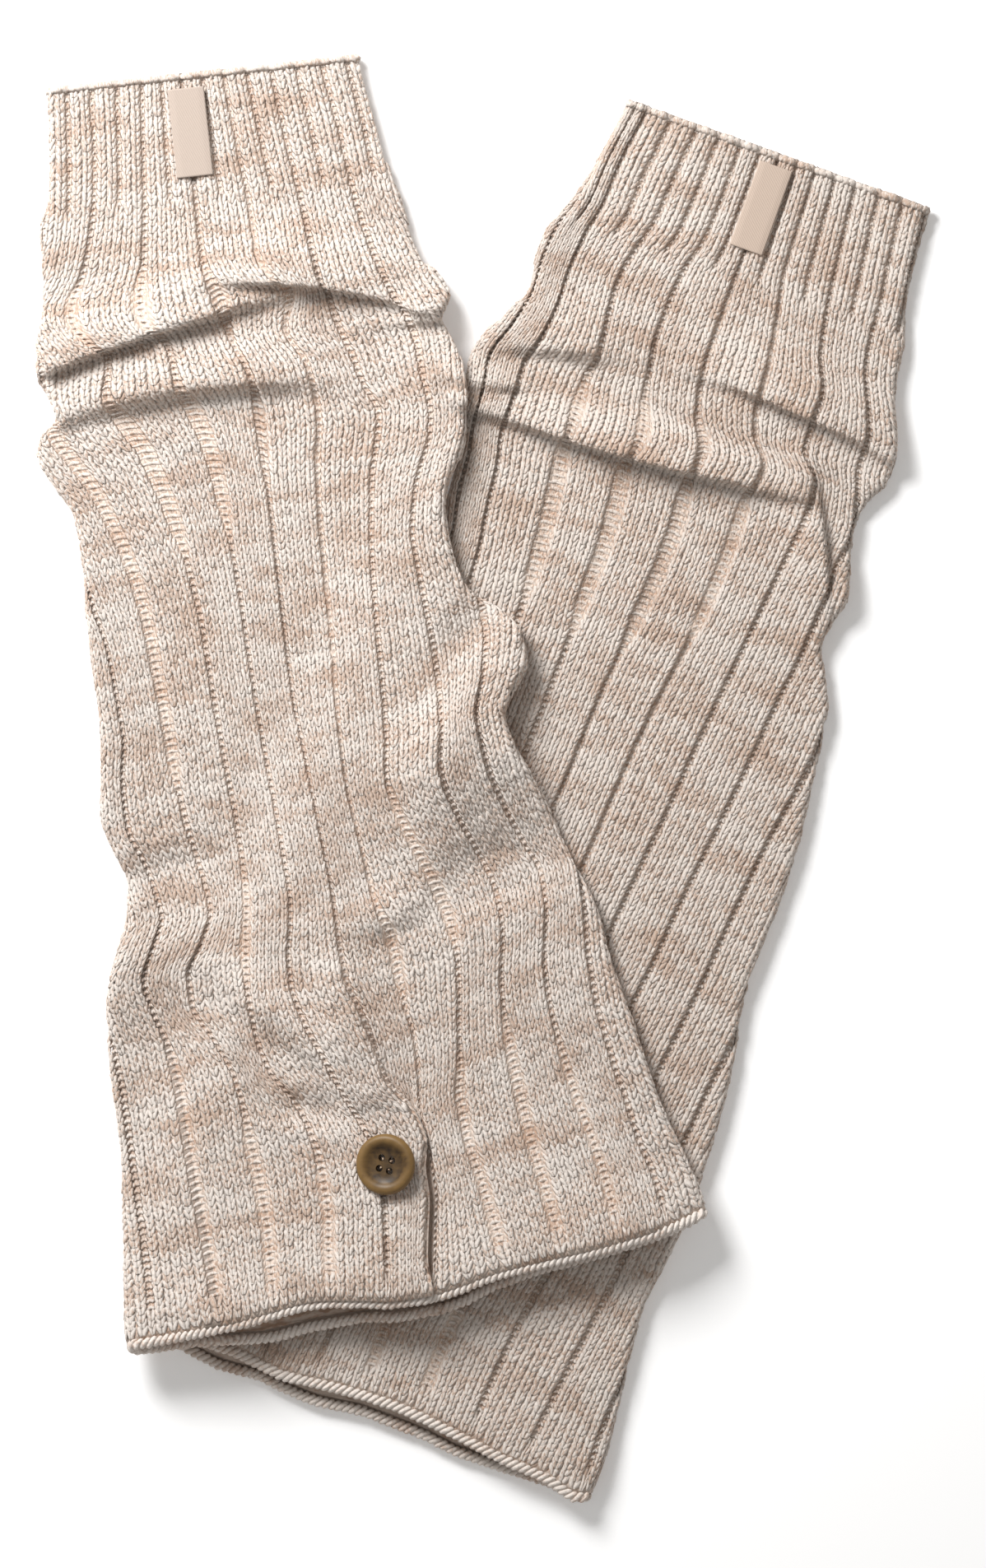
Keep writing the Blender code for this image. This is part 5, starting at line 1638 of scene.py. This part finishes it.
def tape_material(name, colour):
    """A fine slanted weave, read from the place in space."""
    made, tree, shader = blank_material(name, Roughness=0.75)
    where = add(tree, "ShaderNodeTexCoord").outputs["Object"]
    parts = apart(tree, where)
    slant = maths(tree, "MULTIPLY_ADD", parts[1], TWILL_SLANT, parts[0])
    twill = maths(tree, "SINE", maths(tree, "MULTIPLY", slant, 2 * math.pi / (TWILL_STEP * MM)))
    fine = speckle(tree, where, 1500.0, 2.0)[0]
    height = maths(tree, "MULTIPLY_ADD", fine, 0.8, maths(tree, "MULTIPLY", twill, 0.5))
    shade = mapped(tree, height, -0.2, 0.9, 0.92, 1.03)
    dress(tree, shader, blend(tree, 1.0, tinted(colour), shade, "MULTIPLY"), height, 0.35, 0.00015)
    return made


def top_of(leg, across, along, rise):
    """The top of the cloth above a point given as (across, along), without the panel's step."""
    station = along - leg.slant_at(across, along)
    height = np.array([leg.thickness(station)])
    point = plain_lay(leg, station, np.array([across]), height, False)[0]
    point[2] += rise
    return point


def make_tape(leg):
    """A grid that follows the top of the cloth, then a wall's thickness below it."""
    label = dict(zip(LABEL_COLUMNS, LABELS[leg.name]))
    turn = math.radians(label["turn"])
    columns, rows = LABEL_CELLS
    sunk_over, sunk_by = LABEL_EDGE
    mesh = bmesh.new()
    grid = []
    for i in range(rows + 1):
        row = []
        for j in range(columns + 1):
            a = label["wide"] * j / columns
            b = label["long"] * i / rows
            across = label["across"] + a * math.cos(turn) - b * math.sin(turn)
            along = label["along"] + a * math.sin(turn) + b * math.cos(turn)
            sunk = (1 - min(1.0, min(j, columns - j) / sunk_over)) * sunk_by
            point = top_of(leg, across, along, LABEL_RISE + LABEL_THICK - sunk)
            row.append(mesh.verts.new(point * MM))
        grid.append(row)
    for i in range(rows):
        for j in range(columns):
            mesh.faces.new((grid[i][j], grid[i + 1][j], grid[i + 1][j + 1], grid[i][j + 1]))
    made = finished(mesh, leg.name + "_tape", outwards=False)
    thick = made.modifiers.new("thick", "SOLIDIFY")
    thick.thickness = LABEL_THICK * MM
    thick.offset = -1.0
    made.data.materials.append(tape_material(leg.name + " tape", TAPE_COLOURS[leg.name]))
    return made


tapes = {leg.name: make_tape(leg) for leg in (LEFT, RIGHT)}
print("tape cells:", LABEL_CELLS)

# %% [markdown]
# ## The horn button
# The button is turned from horn: a broad rounded rim, a shallow bowl with four holes, brown and
# streaky, with olive where light comes through the rim. A primitive disc would have no rim, so its
# rings follow a profile, as on a lathe, and four cylinders drill it. It leans on the panel's step.
# The beige thread only shows as a short end in each hole.

# %% The horn
BUTTON_DIAMETER = 20.0
BUTTON_THICK = 3.6
BUTTON_BOWL = 13.0
BUTTON_HOLE = 2.3
BUTTON_SPREAD = 3.6  # from one hole to the next
BUTTON_LEAN = math.radians(15.0)
BUTTON_TURN = math.radians(-14.0)
BUTTON_RAISE = 1.15
BUTTON_SIDES = 96
HOLE_SIDES = 24
HOLES = 4
CUTTER_LONG = 10.0
CUTTER_MIDDLE = 3.0
THREAD_LOW = 0.5  # heights of the two ends of a thread
THREAD_HIGH = 1.75
THREAD_LEAN = 0.9
THREAD_HALF = 0.42
RIM_FROM = 5.8  # where the rim's lighter colour starts and where it is full
RIM_FULL = 9.2
HORN_DARK = (0.022, 0.012, 0.006)
HORN_BROWN = (0.118, 0.066, 0.021)
HORN_LIGHT = (0.19, 0.110, 0.036)
HORN_STEPS = ((0.12, HORN_DARK), (0.5, HORN_BROWN), (0.98, HORN_LIGHT))
HORN_FINISH = {"Roughness": 0.5, "Specular_IOR_Level": 0.35}
HORN_POLISH = {"Coat_Weight": 0.05, "Coat_Roughness": 0.25}
BEIGE = (0.62, 0.52, 0.42)
low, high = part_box("left_button")
BUTTON_MIDDLE = (np.array(low) + np.array(high)) / 2 / MM


def horn_material():
    """Dark in the bowl, lighter towards the rim, with mottles and a grain that runs one way."""
    made, tree, shader = blank_material("horn", **HORN_FINISH, **HORN_POLISH)
    where = add(tree, "ShaderNodeTexCoord").outputs["Object"]
    parts = apart(tree, vectors(tree, "SUBTRACT", where, tuple(BUTTON_MIDDLE * MM)))
    flat = add(tree, "ShaderNodeCombineXYZ", {0: parts[0], 1: parts[1]}).outputs[0]
    reach = add(tree, "ShaderNodeVectorMath", {0: flat}, operation="LENGTH").outputs["Value"]
    rim = mapped(tree, reach, RIM_FROM * MM, RIM_FULL * MM, 0.0, 0.75)
    mottle = speckle(tree, where, 190.0, 3.0, Distortion=1.2)[0]
    grain = speckle(tree, vectors(tree, "MULTIPLY", where, (1.0, 3.5, 1.0)), 260.0, 3.0)[0]
    mixed = maths(tree, "MULTIPLY_ADD", mottle, 0.9, rim)
    mixed = maths(tree, "MULTIPLY_ADD", grain, 0.35, mixed)
    ramp = add(tree, "ShaderNodeValToRGB", {0: maths(tree, "SUBTRACT", mixed, 0.35)})
    steps = ramp.color_ramp.elements
    steps.new(0.5)
    for step, (place, colour) in zip(steps, HORN_STEPS):
        step.position = place
        step.color = tinted(colour)
    dress(tree, shader, ramp.outputs[0])
    return made


# %% The button, turned and drilled
def around(radius, turn, height):
    """A point at this distance from the button's axis, in millimetres."""
    return Vector((radius * math.cos(turn), radius * math.sin(turn), height))


def hole_turns():
    return [BUTTON_TURN + 2 * math.pi * (k + 0.5) / HOLES for k in range(HOLES)]


def turned_blank():
    """The button without its holes."""
    radius = BUTTON_DIAMETER / 2
    bowl = BUTTON_BOWL / 2
    profile = (  # distance from the axis, and height as a share of the thickness
        (bowl * 0.55, 0.55),
        (bowl * 0.86, 0.60),
        (bowl, 0.80),
        (bowl + 0.8, 0.95),
        (radius - 1.7, 1.0),
        (radius - 0.8, 0.93),
        (radius - 0.2, 0.72),
        (radius, 0.5),
        (radius - 0.5, 0.22),
        (radius - 2.6, 0.0),
    )
    mesh = bmesh.new()
    top = mesh.verts.new((0, 0, BUTTON_THICK * profile[0][1] * MM))
    base = mesh.verts.new((0, 0, 0))
    turns = [2 * math.pi * k / BUTTON_SIDES for k in range(BUTTON_SIDES)]
    rings = []
    for reach, share in profile:
        ring = [mesh.verts.new(around(reach, turn, share * BUTTON_THICK) * MM) for turn in turns]
        rings.append(ring)
    for k in range(BUTTON_SIDES):
        n = (k + 1) % BUTTON_SIDES
        mesh.faces.new((top, rings[0][k], rings[0][n]))
        mesh.faces.new((base, rings[-1][n], rings[-1][k]))
        for ring, following in zip(rings, rings[1:]):
            mesh.faces.new((ring[k], following[k], following[n], ring[n]))
    return finished(mesh, "left_horn_button", outwards=False)


def make_button():
    """Drills the blank and makes the result its plain mesh."""
    made = turned_blank()
    cutters = []
    for turn in hole_turns():
        bpy.ops.mesh.primitive_cylinder_add(
            vertices=HOLE_SIDES,
            radius=BUTTON_HOLE / 2 * MM,
            depth=CUTTER_LONG * MM,
            location=around(BUTTON_SPREAD / math.sqrt(2), turn, CUTTER_MIDDLE) * MM,
        )
        cutters.append(bpy.context.object)
        drilled = made.modifiers.new("hole", "BOOLEAN")
        drilled.object = cutters[-1]
        drilled.solver = "EXACT"
    bpy.context.view_layer.update()
    graph = bpy.context.evaluated_depsgraph_get()
    result = bpy.data.meshes.new_from_object(made.evaluated_get(graph))
    made.modifiers.clear()
    made.data = result
    for cutter in cutters:
        bpy.data.objects.remove(cutter)
    for face in result.polygons:
        face.use_smooth = True
    result.set_sharp_from_angle(angle=math.radians(40))
    return made


def make_thread():
    """Four short ends of thread, one in each hole, leaning towards the middle."""
    reach = BUTTON_SPREAD / math.sqrt(2)
    ends = []
    for turn in hole_turns():
        low = around(reach, turn, THREAD_LOW)
        ends.append((low, around(reach - THREAD_LEAN, turn, THREAD_HIGH), THREAD_HALF, THREAD_HALF))
    made = template("left_button_thread", ends)
    for vert in made.data.vertices:
        vert.co = Vector(vert.co) * MM
    bpy.context.scene.collection.objects.link(made)
    return made


def place_button(obj):
    """Turns and moves the mesh itself, so that the object stays at the origin."""
    middle = BUTTON_MIDDLE + np.array([0.0, 0.0, BUTTON_RAISE])
    cos, sin = math.cos(-BUTTON_LEAN), math.sin(-BUTTON_LEAN)
    for vert in obj.data.vertices:
        x, y, z = np.array(vert.co) / MM - np.array([0.0, 0.0, BUTTON_THICK / 2])
        vert.co = (Vector((cos * x + sin * z, y, -sin * x + cos * z)) + Vector(middle)) * MM


button = make_button()
thread = make_thread()
button.data.materials.clear()
button.data.materials.append(horn_material())
thread.data.materials.append(plain_yarn("beige thread", BEIGE))
place_button(button)
place_button(thread)
print("button triangles:", triangles(button))

# %% [markdown]
# ## Floor, light and camera
# The photo looks straight down on a white sheet, lit by a broad soft light from the upper left that
# falls off towards the lower right. The camera stands far off with a long lens, so that nearly
# nothing is seen from the side.

# %% Floor and light
FLOOR_SIZE = 6.0
FLOOR_BELOW = 0.4
PAPER = {"Base_Color": (0.97, 0.97, 0.97, 1), "Roughness": 0.9}
PAPER_GLOW = {"Emission_Color": (1, 1, 1, 1), "Emission_Strength": 0.12}
SKY = (1.0, 0.98, 0.955)
SKY_STRENGTH = 0.38
KEY_AT = (-0.50, 0.66, 0.70)
KEY_SIZE = 0.45
KEY_POWER = 17.0

bpy.ops.mesh.primitive_plane_add(size=FLOOR_SIZE, location=(0, 0, -FLOOR_BELOW * MM))
floor = bpy.context.object
floor.name = "floor"
floor.data.materials.append(blank_material("paper", **PAPER, **PAPER_GLOW)[0])
floor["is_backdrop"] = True

world = bpy.data.worlds.new("studio")
world.use_nodes = True
sky = world.node_tree.nodes["Background"]
sky.inputs[0].default_value = tinted(SKY)
sky.inputs[1].default_value = SKY_STRENGTH
bpy.context.scene.world = world

key_data = bpy.data.lights.new("key", "AREA")
key_data.size = KEY_SIZE
key_data.energy = KEY_POWER
key = new_object("key", key_data)
key.location = KEY_AT
key.rotation_euler = (-Vector(KEY_AT)).to_track_quat("-Z", "Y").to_euler()
print("key light at", KEY_AT, "watts", KEY_POWER)

# %% The camera
FRAME_TALL = 514.35  # height of the picture at the cloth, in millimetres
FRAME_MIDDLE = (3.80, -1.51)
CLOTH_TOP = 0.012
CAMERA_AWAY = 2.6
SENSOR = 36.0

bpy.context.scene.view_settings.view_transform = "Standard"
lens_data = bpy.data.cameras.new("camera")
lens_data.sensor_width = SENSOR
lens_data.lens = SENSOR * (CAMERA_AWAY - CLOTH_TOP) / (FRAME_TALL * MM)
lens_data.clip_end = 20.0
camera = new_object("camera", lens_data)
camera.location = (FRAME_MIDDLE[0] * MM, FRAME_MIDDLE[1] * MM, CAMERA_AWAY)
bpy.context.scene.camera = camera
print("lens mm:", round(lens_data.lens, 1))

# %% [markdown]
# ## What stands for what
# Every piece rides on the one body, and the solids that it stands for are hidden. Each leg's shell
# gets its ground material. Each leg is a tube, and its girth is worked out at every station of its
# guide.

# %% Ride and replace
for guide in guide_objects.values():
    bpy.data.objects.remove(guide)
for name in ("left", "right"):
    shell = shells[name]
    shell.data.materials.append(bare_yarns[name])
    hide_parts(name + "_body", name + "_cuff")
    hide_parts(name + "_hem_roll")
    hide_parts(name + "_label")
    for piece in [shell, hems[name], *stitches[name]]:
        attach(piece, "root")
    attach(tapes[name], "root")
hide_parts("left_flap")
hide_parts("left_button")
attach(button, "root")
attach(thread, "root")
for leg in (LEFT, RIGHT):
    guide = guides[leg.name]
    girth = [2 * layer_length(leg, s, 0.0) for s in guide.stations]

# %% Sizes and triangles
NEW_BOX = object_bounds()
for corner, name in enumerate(("low", "high")):
    grown = [round((b - a) / MM, 2) for a, b in zip(CAD_BOX[corner], NEW_BOX[corner])]
    print(name, "corner moved, mm:", grown)
print("triangles in all:", sum(triangles(o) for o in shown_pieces() if o.type == "MESH"))
